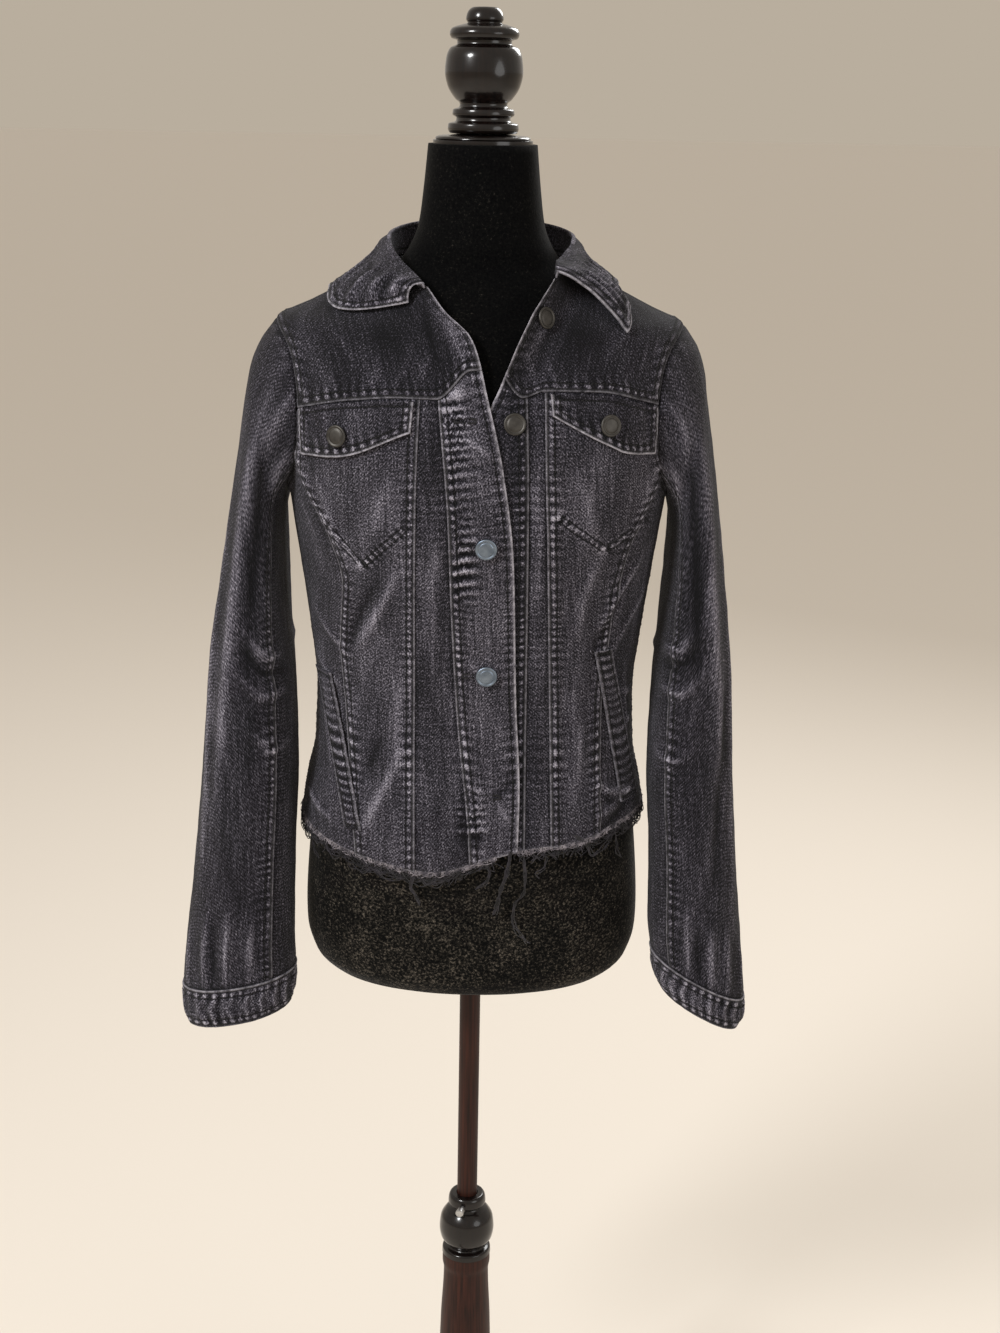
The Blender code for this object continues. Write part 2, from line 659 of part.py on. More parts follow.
def turned(name, profile, finish, steps=24, centre=(0.0, 0.0), bore=()):
    """A turned solid: the profile is (radius, height) from top to bottom, bore a blind bore's floor."""
    bm = bmesh.new()
    verts = [bm.verts.new((radius, 0, z)) for radius, z in [*profile, *bore]]
    runs = [verts[: len(profile)], verts[len(profile) :]]
    edges = [bm.edges.new(pair) for run in runs for pair in zip(run, run[1:])]
    if profile[0][0] > 0:
        edges.append(bm.edges.new((verts[-1], verts[0])))
    bmesh.ops.spin(bm, geom=verts + edges, cent=(0, 0, 0), axis=(0, 0, 1), angle=math.tau, steps=steps,
                   use_merge=True)
    bmesh.ops.remove_doubles(bm, verts=bm.verts, dist=1e-6)
    bmesh.ops.translate(bm, verts=bm.verts, vec=(*centre, 0))
    return add_object(name, bm, finish)


def swell(top, bottom, radius, bulge, points=5):
    """Part of a profile: a bead from one height to another that swells from radius by bulge."""
    turns = np.linspace(0, math.pi, points)
    return [(radius + bulge * math.sin(a), top + (bottom - top) * (1 - math.cos(a)) / 2) for a in turns]


def button(name, point, normal, finish):
    """A tack button's head, with its rim and its neck towards the cloth."""
    profile = [(0, 0.0042), (0.0060, 0.0042), (0.0082, 0.0038), (BUTTON_RADIUS, 0.0026), (0.0094, 0.0016),
               (0.0050, 0.0012), (0.0042, 0.0003), (0, 0.0003)]
    made = turned(name, profile, finish, steps=18)
    turn = Vector((0, 0, 1)).rotation_difference(Vector(normal)).to_matrix().to_4x4()
    made.matrix_world = Matrix.Translation(Vector(point)) @ turn
    return made


def spot(place, s, t):
    """A point of a piece's outer face and its normal."""
    one = lambda a, b, h=0.0: place(np.array([a]), np.array([b]), np.array([h]))[0]
    base, above, d = one(s, t), one(s, t, 0.001), 0.01
    normal = unit(np.cross(one(s + d, t) - one(s - d, t), one(s, t + d) - one(s, t - d)))
    return base, normal * np.sign(normal @ (above - base))


def clear_scene():
    for old in list(bpy.data.objects):
        bpy.data.objects.remove(old, do_unlink=True)


def make_body_cloth():
    """The panels of the body. Returns the surfaces that other pieces lie on."""
    surfaces = {}
    for side, word in SIDES:
        patches = front_patches(side)
        lifted = {name: placed_front(side, patch) for name, patch in patches.items()}
        cloth(f"front_yoke_{word}", lifted["yoke"], 13, 7, seam=LOOSE_SEAM)
        cloth(f"front_centre_{word}", lifted["centre"], 3, 12)
        cloth(f"front_pocket_panel_{word}", lifted["pocket"], 6, POCKET_ROWS)
        cloth(f"front_side_{word}", lifted["side"], 5, BELOW_ARMHOLE)
        cloth(f"placket_{word}", lifted["placket"], 6, 14, wall=DOUBLE, seam=LOOSE_SEAM)
        surfaces[side] = patches
    for name, patch in back_patches().items():
        across, along = {"back_yoke": (18, 9), "back_centre": (8, 12)}.get(name, (6, 12))
        cloth(name, placed_back(patch), across, along)
    return surfaces


def flap_place(side, patch):
    """The pocket flap: a piece of the pocket panel under the yoke seam, with a pointed lower edge."""
    drop = through(FLAP_DROP[side])

    def flap(s, t):
        along = FLAP_SPAN[side][0] + (FLAP_SPAN[side][1] - FLAP_SPAN[side][0]) * s
        way, top = patch(along, np.full_like(s, FLAP_TOP))
        return way, top - drop(s)[..., 0] * (1 - t)

    return placed_front(side, flap, lift=LIFT + DOUBLE)


def welt_place(side):
    """The slanted welt of the side pocket, a narrow strip across the outer seam."""
    (high, high_x), (low, low_x) = WELT[side]

    def strip(s, t):
        z = low + (high - low) * t
        x = low_x + (high_x - low_x) * t + (s - 0.5) * WELT_WIDTH
        return facing(x, z), z

    return placed_front(side, strip, lift=WELT_LIFT + CLOTH)


def make_details(surfaces):
    """Flaps, welts, buttons and the frayed hem."""
    for side, word in SIDES:
        flap = flap_place(side, surfaces[side]["pocket"])
        cloth(f"pocket_flap_{word}", flap, 6, 3, wall=DOUBLE)
        cloth(f"pocket_welt_{word}", welt_place(side), 2, 8)
        along, up = {-1: (0.62, 0.40), 1: (0.52, 0.42)}[side]
        button(f"flap_button_{word}", *spot(flap, along, up), METAL)
    over = placed_front(-1, surfaces[-1]["placket"])
    under = placed_front(1, surfaces[1]["placket"])
    yoke = placed_front(1, surfaces[1]["yoke"])
    for name, place, s, z in (
        ("front_button_1", yoke, 0.075, 1.3590),
        ("front_button_2", under, 0.66, 1.2712),
        ("front_button_3", over, 0.42, 1.1627),
        ("front_button_4", over, 0.48, 1.0392),
    ):
        heights = np.linspace(0, 1, 401)
        levels = place(np.full(401, s), heights, np.zeros(401))[:, 2]
        t = float(heights[np.argmin(np.abs(levels - z))])
        point, normal = spot(place, s, t)
        button(name, point + normal * SHANK, normal, METAL)

    def fringe(s, t):
        start, end = FRINGE_ENDS
        way = start + (end - start) * s
        z = level("hem", (way + 180) % 360 - 180) - SEAM - FRINGE * (1 - t)
        return way, z

    cloth("hem_fringe", placed_back(fringe, lift=-0.0005), 38, 1, wall=FRINGE_WALL, finish=THREAD)


def make_sleeves():
    for side, word in SIDES:
        front, back = SLEEVE_SEAMS
        cloth(f"sleeve_top_{word}", sleeve_place(side, back - 360, front, 0, 1), 11, 15, seam=LOOSE_SEAM)
        cloth(f"sleeve_under_{word}", sleeve_place(side, front, back, 0, 1), 6, 15, seam=LOOSE_SEAM)
        end = CUFF_SEAM + 360 + CUFF_OVERLAP
        share = CUFF_OVERLAP / (360 + CUFF_OVERLAP)
        rise = lambda s: CUFF_LAP * fade(s, 1 - 1.9 * share, 1 - 1.05 * share)
        cuff = sleeve_place(side, CUFF_SEAM, end, 1.0, 1.07, rise)
        cloth(f"cuff_{word}", cuff, 26, 2, wall=DOUBLE)
        button(f"cuff_button_{word}", *spot(cuff, 1 - 0.5 * share, 0.5), METAL)


def make_form():
    """The dress form: the jacket's own body surface, less the wall and the ease, closed at both ends."""
    heights = [s.z for s in SECTIONS[:5]] + list(np.linspace(0.83, 1.29, 13)) + [s.z for s in SECTIONS[14:]]
    ways = np.arange(0, 360, 10.0)
    rings = []
    for z in heights:
        ease = float(section_at(z)[..., 4])
        rings.append(body(ways, z) - outward(ways, z) * (CLOTH + ease))
    rings[0][:, 2] = heights[0]
    rings[-1][:, 2] = heights[-1]
    loft("form_torso", rings, VELVET)
    top = heights[-1] + REST
    plate = [(0, 0.0085), (0.020, 0.0085), (0.0300, 0.0075), *swell(0.0075, 0.0035, 0.040, 0.003, 4),
             (0.0445, 0.0030), (0.0445, 0.0), (0, 0)]
    turned("neck_plate", [(r, top + z) for r, z in plate], GLOSS_WOOD)
    knob = top + plate[0][1] + REST
    finial = [(0, 0.1065), (0.010, 0.1060), (0.0150, 0.1020), (0.0165, 0.0960), (0.0150, 0.0930),
              (0.0200, 0.0915), (0.0290, 0.0880), (0.0306, 0.0840), (0.0290, 0.0800), (0.0240, 0.0780),
              (0.0240, 0.0755), (0.0300, 0.0720), (0.0334, 0.0640), (0.0345, 0.0520), (0.0320, 0.0400),
              (0.0250, 0.0290), (0.0210, 0.0250), (0.0215, 0.0225), (0.0270, 0.0200), (0.0275, 0.0160),
              (0.0240, 0.0130), (0.0245, 0.0105), (0.0310, 0.0080), (0.0315, 0.0040), (0.0290, 0.0), (0, 0)]
    turned("finial", [(r, knob + z) for r, z in finial], GLOSS_WOOD)


def make_stand():
    pole_top = SECTIONS[0].z - REST
    pole = [(0, pole_top), (POLE_RADIUS, pole_top), (POLE_RADIUS, POLE_BOTTOM), (0, POLE_BOTTOM)]
    turned("pole", pole, WOOD, 20)
    neck = KNOB_TOP
    knob = [(BORE_RADIUS, neck), (0.0165, neck), (0.0190, neck - 0.004), (0.0195, neck - 0.010),
            (0.0165, neck - 0.014), (0.0220, neck - 0.019), (0.0272, neck - 0.028), (0.0285, neck - 0.040),
            (0.0270, neck - 0.050), (0.0215, neck - 0.058), (0.0195, neck - 0.061), (0.0250, neck - 0.064),
            (0.0255, neck - COLLAR_TALL), (BORE_RADIUS, neck - COLLAR_TALL)]
    turned("stand_collar", knob, GLOSS_WOOD)
    top = neck - COLLAR_TALL - REST
    column = [(BORE_RADIUS, top), (0.0245, top), (0.0250, top - 0.010), (0.0235, top - 0.020),
              (0.0262, top - 0.080), (0.0275, top - 0.140), (0.0265, 0.205), (0.0215, 0.190),
              (0.0255, 0.184), (0.0255, 0.178), (0.0290, 0.170), (0.0290, 0.100), (0.0230, 0.094),
              (0.0120, COLUMN_FOOT), (0.0, COLUMN_FOOT)]
    turned("stand_column", column, WOOD, bore=[(0.0, BORE_FLOOR), (BORE_RADIUS, BORE_FLOOR)])
    screw = turned("set_screw", [(0, 0.0125), (0.0035, 0.0125), (0.0042, 0.0115), (0.0042, 0.0060),
                                 (0.0026, 0.0055), (0.0026, 0.0003), (0, 0.0003)], METAL, 16)
    turn = Vector((0, 0, 1)).rotation_difference(Vector((-0.24, -1, 0))).to_matrix().to_4x4()
    at = Vector((-0.24, -1, 0)).normalized() * 0.0195
    screw.matrix_world = Matrix.Translation((at.x, at.y, neck - 0.0075)) @ turn


# The three legs: distance from the axis, height, half height and half width of each section
Leg = namedtuple("Leg", "out z tall wide")
LEG = [
    Leg(0.0293, 0.1300, 0.0260, 0.0110),
    Leg(0.0550, 0.1320, 0.0250, 0.0110),
    Leg(0.0900, 0.1270, 0.0210, 0.0110),
    Leg(0.1300, 0.1090, 0.0170, 0.0105),
    Leg(0.1700, 0.0800, 0.0150, 0.0100),
    Leg(0.2050, 0.0480, 0.0135, 0.0100),
    Leg(0.2350, 0.0275, 0.0125, 0.0100),
    Leg(0.2600, 0.0215, 0.0125, 0.0105),
    Leg(0.2780, 0.0205, 0.0125, 0.0110),
    Leg(LEG_REACH, 0.0200, 0.0090, 0.0080),
]
LEG_WAYS = (0.0, 120.0, 240.0)
FOOT_OUT = 0.266


def make_legs():
    for number, way in enumerate(LEG_WAYS, 1):
        turn = math.radians(way)
        ahead = np.array([math.cos(turn), math.sin(turn), 0])
        aside = np.array([-math.sin(turn), math.cos(turn), 0])
        rows = np.array(LEG)
        slope = np.gradient(rows[:, 1], rows[:, 0])
        slope[0] = slope[-1] = 0
        rings = []
        for leg, lean in zip(LEG, slope):
            up = unit(np.array([0, 0, 1.0]) - ahead * lean * 0.9)
            ring = []
            for angle in np.arange(0, 360, 30.0) + 15:
                c, s = math.cos(math.radians(angle)), math.sin(math.radians(angle))
                c, s = math.copysign(abs(c) ** 0.7, c), math.copysign(abs(s) ** 0.7, s)
                middle = ahead * leg.out + np.array([0, 0, leg.z])
                ring.append(middle + up * leg.tall * s + aside * leg.wide * c)
            rings.append(ring)
        loft(f"stand_leg_{number}", rings, WOOD)
        foot = ahead * FOOT_OUT
        pad = [(0, FOOT_PAD), (0.0070, FOOT_PAD), (0.0080, FOOT_PAD - 0.002), (0.0080, 0.0), (0, 0)]
        turned(f"foot_pad_{number}", pad, RUBBER, 16, centre=(foot[0], foot[1]))


clear_scene()
DENIM = material("black_denim", (0.035, 0.033, 0.042), 0.9)
THREAD = material("frayed_thread", (0.05, 0.048, 0.055), 0.95)
METAL = material("dull_metal", (0.16, 0.17, 0.18), 0.4, 1.0)
VELVET = material("black_velvet", (0.008, 0.008, 0.009), 1.0)
WOOD = material("stained_wood", (0.045, 0.018, 0.012), 0.3)
GLOSS_WOOD = material("lacquered_wood", (0.012, 0.008, 0.007), 0.12)
RUBBER = material("foot_rubber", (0.02, 0.02, 0.02), 0.8)
make_details(make_body_cloth())
make_sleeves()
cloth("collar", collar_place, 26, 8, wall=DOUBLE)
make_form()
make_stand()
make_legs()
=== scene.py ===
"""The looks of the denim jacket on its dress form and stand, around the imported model.

Metres, +Z up. The origin is on the floor under the pole, the front faces -Y and +X is the wearer's left.
The surfaces are the solids' own: the same tables and functions, with a finer mesh and the cloth's relief.
"""

import math
import random
from collections import namedtuple

import bmesh
import bpy
import numpy as np
from mathutils import Matrix, Vector, noise


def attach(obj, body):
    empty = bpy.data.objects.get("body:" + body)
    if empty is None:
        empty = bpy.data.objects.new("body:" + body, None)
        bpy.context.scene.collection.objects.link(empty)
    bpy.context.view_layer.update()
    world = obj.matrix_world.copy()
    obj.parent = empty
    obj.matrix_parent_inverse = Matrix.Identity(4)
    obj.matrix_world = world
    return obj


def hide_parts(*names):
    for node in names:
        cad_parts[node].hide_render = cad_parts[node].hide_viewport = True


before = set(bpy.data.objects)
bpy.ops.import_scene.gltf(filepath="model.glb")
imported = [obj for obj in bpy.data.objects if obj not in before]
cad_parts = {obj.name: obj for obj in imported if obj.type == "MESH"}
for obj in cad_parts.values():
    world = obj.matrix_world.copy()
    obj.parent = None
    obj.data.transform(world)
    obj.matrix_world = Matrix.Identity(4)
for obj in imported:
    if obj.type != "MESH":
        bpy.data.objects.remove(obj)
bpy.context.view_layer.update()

# Driving dimensions
CLOTH = 0.0018  # wall of the denim
DOUBLE = 0.0024  # wall where the denim is folded double: plackets, flaps, collar
LAP = 0.0036  # how far the under placket lies below the over placket
LIFT = 0.0005  # gap under a piece that lies on a panel
BUTTON_RADIUS = 0.0098
SHANK = 0.0004  # how far a front button stands off its placket
SLEEVE_START = 0.0015  # how far outside the armhole the sleeve starts
POCKET_ROWS = 12  # rows of facets up a pocket panel
BELOW_ARMHOLE = 10  # those of them that run beside the side panel
CUFF_LAP = 0.0034  # rise of the cuff's buttoned end over the other
POLE_RADIUS = 0.0104
BORE_RADIUS = 0.0112
POLE_BOTTOM = 0.175
KNOB_TOP = 0.437
COLUMN_FOOT = 0.092
BORE_FLOOR = 0.112
COLLAR_TALL = 0.0697
REST = 0.0003  # gap between two turned pieces that rest on each other
LEG_REACH = 0.285

SIDES = ((-1, "right"), (1, "left"))

# The body of the jacket: half width at the side, depth to the front and to the back, the power of the
# oval, and the ease between the cloth and the dress form. Below the hem and above the neck seam the rows
# belong to the dress form alone.
Section = namedtuple("Section", "z half front back power ease")
SECTIONS = [
    Section(0.7000, 0.1180, 0.0700, 0.0740, 2.20, 0.0000),
    Section(0.7060, 0.1380, 0.0830, 0.0870, 2.20, 0.0000),
    Section(0.7250, 0.1570, 0.0950, 0.0990, 2.20, 0.0000),
    Section(0.7550, 0.1650, 0.1010, 0.1060, 2.25, 0.0000),
    Section(0.8000, 0.1665, 0.1090, 0.1140, 2.30, 0.0020),
    Section(0.8600, 0.1665, 0.1240, 0.1240, 2.30, 0.0070),
    Section(0.9000, 0.1620, 0.1190, 0.1170, 2.30, 0.0120),
    Section(0.9450, 0.1530, 0.1110, 0.1070, 2.25, 0.0150),
    Section(1.0000, 0.1510, 0.1070, 0.1000, 2.20, 0.0190),
    Section(1.0600, 0.1570, 0.1120, 0.0980, 2.20, 0.0180),
    Section(1.1200, 0.1650, 0.1220, 0.1010, 2.20, 0.0150),
    Section(1.1800, 0.1735, 0.1310, 0.1070, 2.25, 0.0120),
    Section(1.2400, 0.1815, 0.1330, 0.1130, 2.30, 0.0090),
    Section(1.2900, 0.1885, 0.1240, 0.1150, 2.30, 0.0060),
    Section(1.3200, 0.1910, 0.1130, 0.1120, 2.25, 0.0030),
    Section(1.3360, 0.1895, 0.1050, 0.1080, 2.20, 0.0030),
    Section(1.3465, 0.1830, 0.0990, 0.1050, 2.15, 0.0030),
    Section(1.3600, 0.1560, 0.0900, 0.1000, 2.10, 0.0036),
    Section(1.3770, 0.1220, 0.0790, 0.0930, 2.05, 0.0034),
    Section(1.3985, 0.0790, 0.0660, 0.0820, 2.00, 0.0022),
    Section(1.4150, 0.0645, 0.0630, 0.0700, 2.00, 0.0000),
    Section(1.4320, 0.0583, 0.0600, 0.0620, 2.00, 0.0000),
    Section(1.4600, 0.0545, 0.0560, 0.0560, 2.00, 0.0000),
    Section(1.5000, 0.0505, 0.0505, 0.0505, 2.00, 0.0000),
]

# Heights of the level seams by the direction they face: 0 is the front, 90 the wearer's left side,
# -90 the right side and 180 the back.
HEM = [
    (-180, 0.868),
    (-135, 0.866),
    (-90, 0.874),
    (-51, 0.861),
    (-29, 0.852),
    (-17, 0.849),
    (8, 0.865),
    (25, 0.873),
    (44, 0.876),
    (64, 0.886),
    (90, 0.888),
    (135, 0.872),
    (180, 0.868),
]
BACK_YOKE = [(90, 1.268), (120, 1.264), (180, 1.259)]

# The front seams, by side: -1 is the wearer's right front, which laps over, and 1 the left, which laps
# under. Each row is (height, distance from the middle towards that side).
EDGE = {
    -1: [(0.84, -0.043), (0.92, -0.0445), (1.015, -0.0395), (1.15, -0.0345), (1.233, -0.0235),
         (1.296, -0.0085), (1.326, 0.000), (1.340, 0.0072), (1.357, 0.0275), (1.3765, 0.043)],
    1: [(0.84, -0.010), (1.20, -0.008), (1.26, 0.002), (1.304, 0.020), (1.345, 0.040), (1.3785, 0.0596)],
}
PLACKET_SEAM = {
    -1: [(0.84, -0.001), (0.90, 0.003), (0.995, 0.0135), (1.093, 0.0195), (1.187, 0.0235), (1.30, 0.034)],
    1: [(0.84, 0.050), (1.20, 0.046), (1.31, 0.043)],
}
INNER_SEAM = {
    -1: [(0.84, 0.052), (1.00, 0.0537), (1.19, 0.0535), (1.30, 0.0500)],
    1: [(0.84, 0.076), (0.99, 0.0708), (1.19, 0.0635), (1.30, 0.0595)],
}
OUTER_SEAM = {
    -1: [(0.84, 0.106), (1.00, 0.118), (1.06, 0.122), (1.12, 0.119), (1.16, 0.130), (1.215, 0.160)],
    1: [(0.84, 0.122), (1.00, 0.118), (1.06, 0.122), (1.14, 0.134), (1.215, 0.166)],
}
YOKE = {
    -1: [(-4, 1.3145), (3, 1.3145), (16, 1.2915), (29, 1.2915), (46, 1.287), (63, 1.276), (75, 1.268)],
    1: [(3, 1.3125), (9, 1.3125), (18, 1.2945), (26, 1.2995), (45, 1.298), (58, 1.289), (75, 1.274)],
}
NECK_CORNER = {-1: (30.0, 1.3765), 1: (41.0, 1.3785)}
NECK_SIDE = (90.0, 1.3985)
NECK_BACK = (180.0, 1.3965)

# The armhole: an oval on the body surface
ARMHOLE_Z = 1.2715
ARMHOLE_RISE = 0.0735
ARMHOLE_SPREAD = 26.0
ARMHOLE_POWER = 2.3
SHOULDER_TIP = (90.0, ARMHOLE_Z + ARMHOLE_RISE)

# The fronts open in a V above the top fastened button, and there the edges roll outwards.
Roll = namedtuple("Roll", "start full height width")
ROLL = {-1: Roll(1.285, 1.335, 0.010, 0.036), 1: Roll(1.295, 1.340, 0.019, 0.030)}

# The sleeves, ring by ring: the outer and the inner point, the middle's y and the half depth
Ring = namedtuple("Ring", "at out_x out_z in_x in_z mid_y depth")
SLEEVE = {
    -1: [
        Ring(0.00, 0.1915, 1.3450, 0.1785, 1.1980, 0.000, 0.058),
        Ring(0.08, 0.2040, 1.3230, 0.1800, 1.1780, 0.000, 0.063),
        Ring(0.18, 0.2120, 1.2880, 0.1810, 1.1500, -0.001, 0.068),
        Ring(0.32, 0.2255, 1.1950, 0.1800, 1.1100, -0.004, 0.071),
        Ring(0.44, 0.2380, 1.1120, 0.1770, 1.0600, -0.010, 0.070),
        Ring(0.56, 0.2510, 1.0300, 0.1710, 1.0050, -0.018, 0.065),
        Ring(0.70, 0.2590, 0.9250, 0.1685, 0.9180, -0.030, 0.058),
        Ring(0.84, 0.2690, 0.8180, 0.1710, 0.8300, -0.042, 0.051),
        Ring(0.94, 0.2775, 0.7420, 0.1715, 0.7600, -0.051, 0.045),
        Ring(1.00, 0.2800, 0.7060, 0.1705, 0.7260, -0.056, 0.042),
        Ring(1.04, 0.2790, 0.6840, 0.1720, 0.7050, -0.058, 0.042),
        Ring(1.07, 0.2760, 0.6680, 0.1750, 0.6890, -0.060, 0.040),
    ],
    1: [
        Ring(0.00, 0.1915, 1.3450, 0.1785, 1.1980, 0.000, 0.058),
        Ring(0.08, 0.2030, 1.3230, 0.1800, 1.1780, 0.000, 0.063),
        Ring(0.18, 0.2080, 1.2880, 0.1810, 1.1500, -0.001, 0.068),
        Ring(0.32, 0.2225, 1.1950, 0.1790, 1.1100, -0.004, 0.071),
        Ring(0.44, 0.2320, 1.1120, 0.1740, 1.0620, -0.010, 0.070),
        Ring(0.56, 0.2420, 1.0250, 0.1690, 1.0120, -0.018, 0.064),
        Ring(0.70, 0.2500, 0.9100, 0.1665, 0.9300, -0.030, 0.056),
        Ring(0.84, 0.2590, 0.8050, 0.1710, 0.8480, -0.042, 0.049),
        Ring(0.94, 0.2660, 0.7380, 0.1720, 0.7850, -0.051, 0.043),
        Ring(1.00, 0.2690, 0.7020, 0.1755, 0.7520, -0.056, 0.040),
        Ring(1.04, 0.2680, 0.6850, 0.1800, 0.7320, -0.058, 0.040),
        Ring(1.07, 0.2640, 0.6720, 0.1840, 0.7160, -0.060, 0.038),
    ],
}
# Where the two halves of a sleeve meet, in degrees round it from the top towards the front
SLEEVE_SEAMS = (128.0, 262.0)
SLEEVE_BLEND = 0.16  # share of its length over which the sleeve leaves the armhole's shape
CUFF_SEAM = 262.0
CUFF_OVERLAP = 26.0

# The collar by stations from the wearer's right corner round the neck: the direction and height of the
# neck seam, the height of the stand, and the direction and height of the leaf's edge.
Station = namedtuple("Station", "at neck_way neck_z stand lean edge_way edge_z")
COLLAR = [
    Station(0.00, -31.0, 1.3755, 0.004, 0.002, -37.0, 1.3650),
    Station(0.10, -45.0, 1.3850, 0.010, 0.002, -59.5, 1.3560),
    Station(0.24, -88.0, 1.3985, 0.0200, 0.003, -87.0, 1.3700),
    Station(0.38, -135.0, 1.3990, 0.0280, 0.003, -133.0, 1.3690),
    Station(0.50, -180.0, 1.3965, 0.0330, 0.003, -180.0, 1.3650),
    Station(0.62, -225.0, 1.3990, 0.0280, 0.003, -227.0, 1.3690),
    Station(0.76, -272.0, 1.3985, 0.0200, 0.003, -274.0, 1.3765),
    Station(0.90, -312.0, 1.3870, 0.012, 0.002, -291.0, 1.3600),
    Station(1.00, -318.5, 1.3785, 0.006, 0.002, -301.0, 1.3430),
]
COLLAR_FOLD = 0.44  # share of the collar's width that stands
COLLAR_BULGE = 0.006
COLLAR_OFF = 0.0017  # how far the collar stands off the yokes at the neck seam
EDGE_OFF = 0.0052  # and at the leaf's edge

# The flaps' ends as shares of the pocket panel's top, and their drop along them
FLAP_SPAN = {-1: (0.035, 0.965), 1: (0.03, 0.97)}
FLAP_DROP = {-1: [(0, 0.026), (0.5, 0.045), (0.62, 0.0465), (1, 0.040)],
             1: [(0, 0.018), (0.55, 0.044), (0.65, 0.0465), (1, 0.041)]}
FLAP_TOP = 0.992
# The welts' upper and lower ends, each (height, distance from the middle)
WELT = {-1: ((1.026, 0.1385), (0.884, 0.1090)), 1: ((1.058, 0.1165), (0.905, 0.1460))}
WELT_WIDTH = 0.016
WELT_LIFT = 0.0013  # it crosses a seam, so it lies less close than a flap


def through(rows):
    """A smooth curve through the rows, each a place and what holds there, without overshoot."""
    rows = np.array(rows, float)
    place, value = rows[:, 0], rows[:, 1:]
    step = np.diff(place)[:, None]
    slope = np.diff(value, axis=0) / step
    before, after = slope[:-1], slope[1:]
    same = before * after > 0
    inner = np.where(same, 2 * before * after / np.where(same, before + after, 1), 0)
    tangent = np.vstack([slope[:1], inner, slope[-1:]])

    def at(x):
        x = np.clip(np.asarray(x, float), place[0], place[-1])
        i = np.clip(np.searchsorted(place, x, side="right") - 1, 0, len(step) - 1)
        u = ((x - place[i]) / step[i, 0])[..., None]
        h = step[i]
        start = (2 * u**3 - 3 * u**2 + 1) * value[i] + (u**3 - 2 * u**2 + u) * h * tangent[i]
        end = (3 * u**2 - 2 * u**3) * value[i + 1] + (u**3 - u**2) * h * tangent[i + 1]
        return start + end

    return at


def fade(x, low, high):
    """0 below low, 1 above high, smooth between."""
    u = np.clip((x - low) / (high - low), 0, 1)
    return u * u * (3 - 2 * u)


section_at = through(SECTIONS)
collar_at = through(COLLAR)
sleeve_at = {side: through(rows) for side, rows in SLEEVE.items()}
level_of = {"hem": through(HEM), "back": through(BACK_YOKE)}
level_of.update({("yoke", side): through(rows) for side, rows in YOKE.items()})
FRONT_SEAMS = {"edge": EDGE, "placket": PLACKET_SEAM, "inner": INNER_SEAM, "outer": OUTER_SEAM}
across_of = {
    (name, side): through(rows) for name, table in FRONT_SEAMS.items() for side, rows in table.items()
}


def level(name, way):
    return level_of[name](way)[..., 0]


def body(way, z):
    """The outer face of the jacket's body at a direction, in degrees from the front, and a height."""
    way, z = np.broadcast_arrays(np.asarray(way, float), np.asarray(z, float))
    half, front, back, power, _ = np.moveaxis(section_at(z), -1, 0)
    s, c = np.sin(np.radians(way)), np.cos(np.radians(way))
    depth = np.where(c > 0, front, back)
    reach = ((np.abs(s) / half) ** power + (np.abs(c) / depth) ** power) ** (-1 / power)
    return np.stack([reach * s, -reach * c, z], axis=-1)


def unit(v):
    return v / np.linalg.norm(v, axis=-1, keepdims=True)


def outward(way, z):
    turn, rise = 0.5, 0.0005
    along = body(way + turn, z) - body(way - turn, z)
    up = body(way, z + rise) - body(way, z - rise)
    return unit(np.cross(along, up))


def facing(x, z):
    """The direction of the front's point at x and z."""
    half, front, _, power, _ = np.moveaxis(section_at(z), -1, 0)
    depth = front * (1 - np.clip(np.abs(x) / half, 0, 1) ** power) ** (1 / power)
    return np.degrees(np.arctan2(x, depth))


def seam_way(name, side, z):
    """The direction of a front seam at a height, counted towards its side."""
    return facing(across_of[name, side](z)[..., 0], z)


def front_height(side, way, z):
    """How far a front stands off the body surface: the under front sinks, and the edges roll out."""
    x = side * body(side * way, z)[..., 0]
    roll = ROLL[side]
    inland = np.clip(1 - (x - across_of["edge", side](z)[..., 0]) / roll.width, 0, 1)
    height = roll.height * fade(z, roll.start, roll.full) * inland**2
    if side == 1:
        height = height - LAP * (1 - fade(x, 0.046, 0.064)) * (1 - fade(z, 1.300, 1.335))
    return height


def placed_front(side, patch, lift=0.0):
    """A surface for cloth(): a patch of directions and heights, on the front of one side."""

    def place(s, t, height):
        way, z = patch(s, t)
        off = height + lift + front_height(side, way, z)
        return body(side * way, z) + outward(side * way, z) * off[..., None]

    return place


def placed_back(patch, lift=0.0):
    def place(s, t, height):
        way, z = patch(s, t)
        return body(way, z) + outward(way, z) * (height + lift)[..., None]

    return place


def coons(bottom, top, left, right):
    """The patch inside four curves of (direction, height)."""

    def patch(s, t):
        low, high, near, far = np.array(bottom(s)), np.array(top(s)), np.array(left(t)), np.array(right(t))
        ends = np.zeros_like(s), np.ones_like(s)
        corners = [np.array(curve(end)) for curve in (bottom, top) for end in ends]
        blend = (1 - t) * low + t * high + (1 - s) * near + s * far
        blend -= (1 - s) * (1 - t) * corners[0] + s * (1 - t) * corners[1]
        blend -= (1 - s) * t * corners[2] + s * t * corners[3]
        return blend[0], blend[1]

    return patch


def straight(a, b):
    return lambda u: (a[0] + (b[0] - a[0]) * u, a[1] + (b[1] - a[1]) * u)


def joined(first, second, share):
    """Two curves run one after the other, the first taking this share of the parameter."""

    def curve(u):
        early, late = first(np.clip(u / share, 0, 1)), second(np.clip((u - share) / (1 - share), 0, 1))
        return tuple(np.where(u < share, a, b) for a, b in zip(early, late))

    return curve


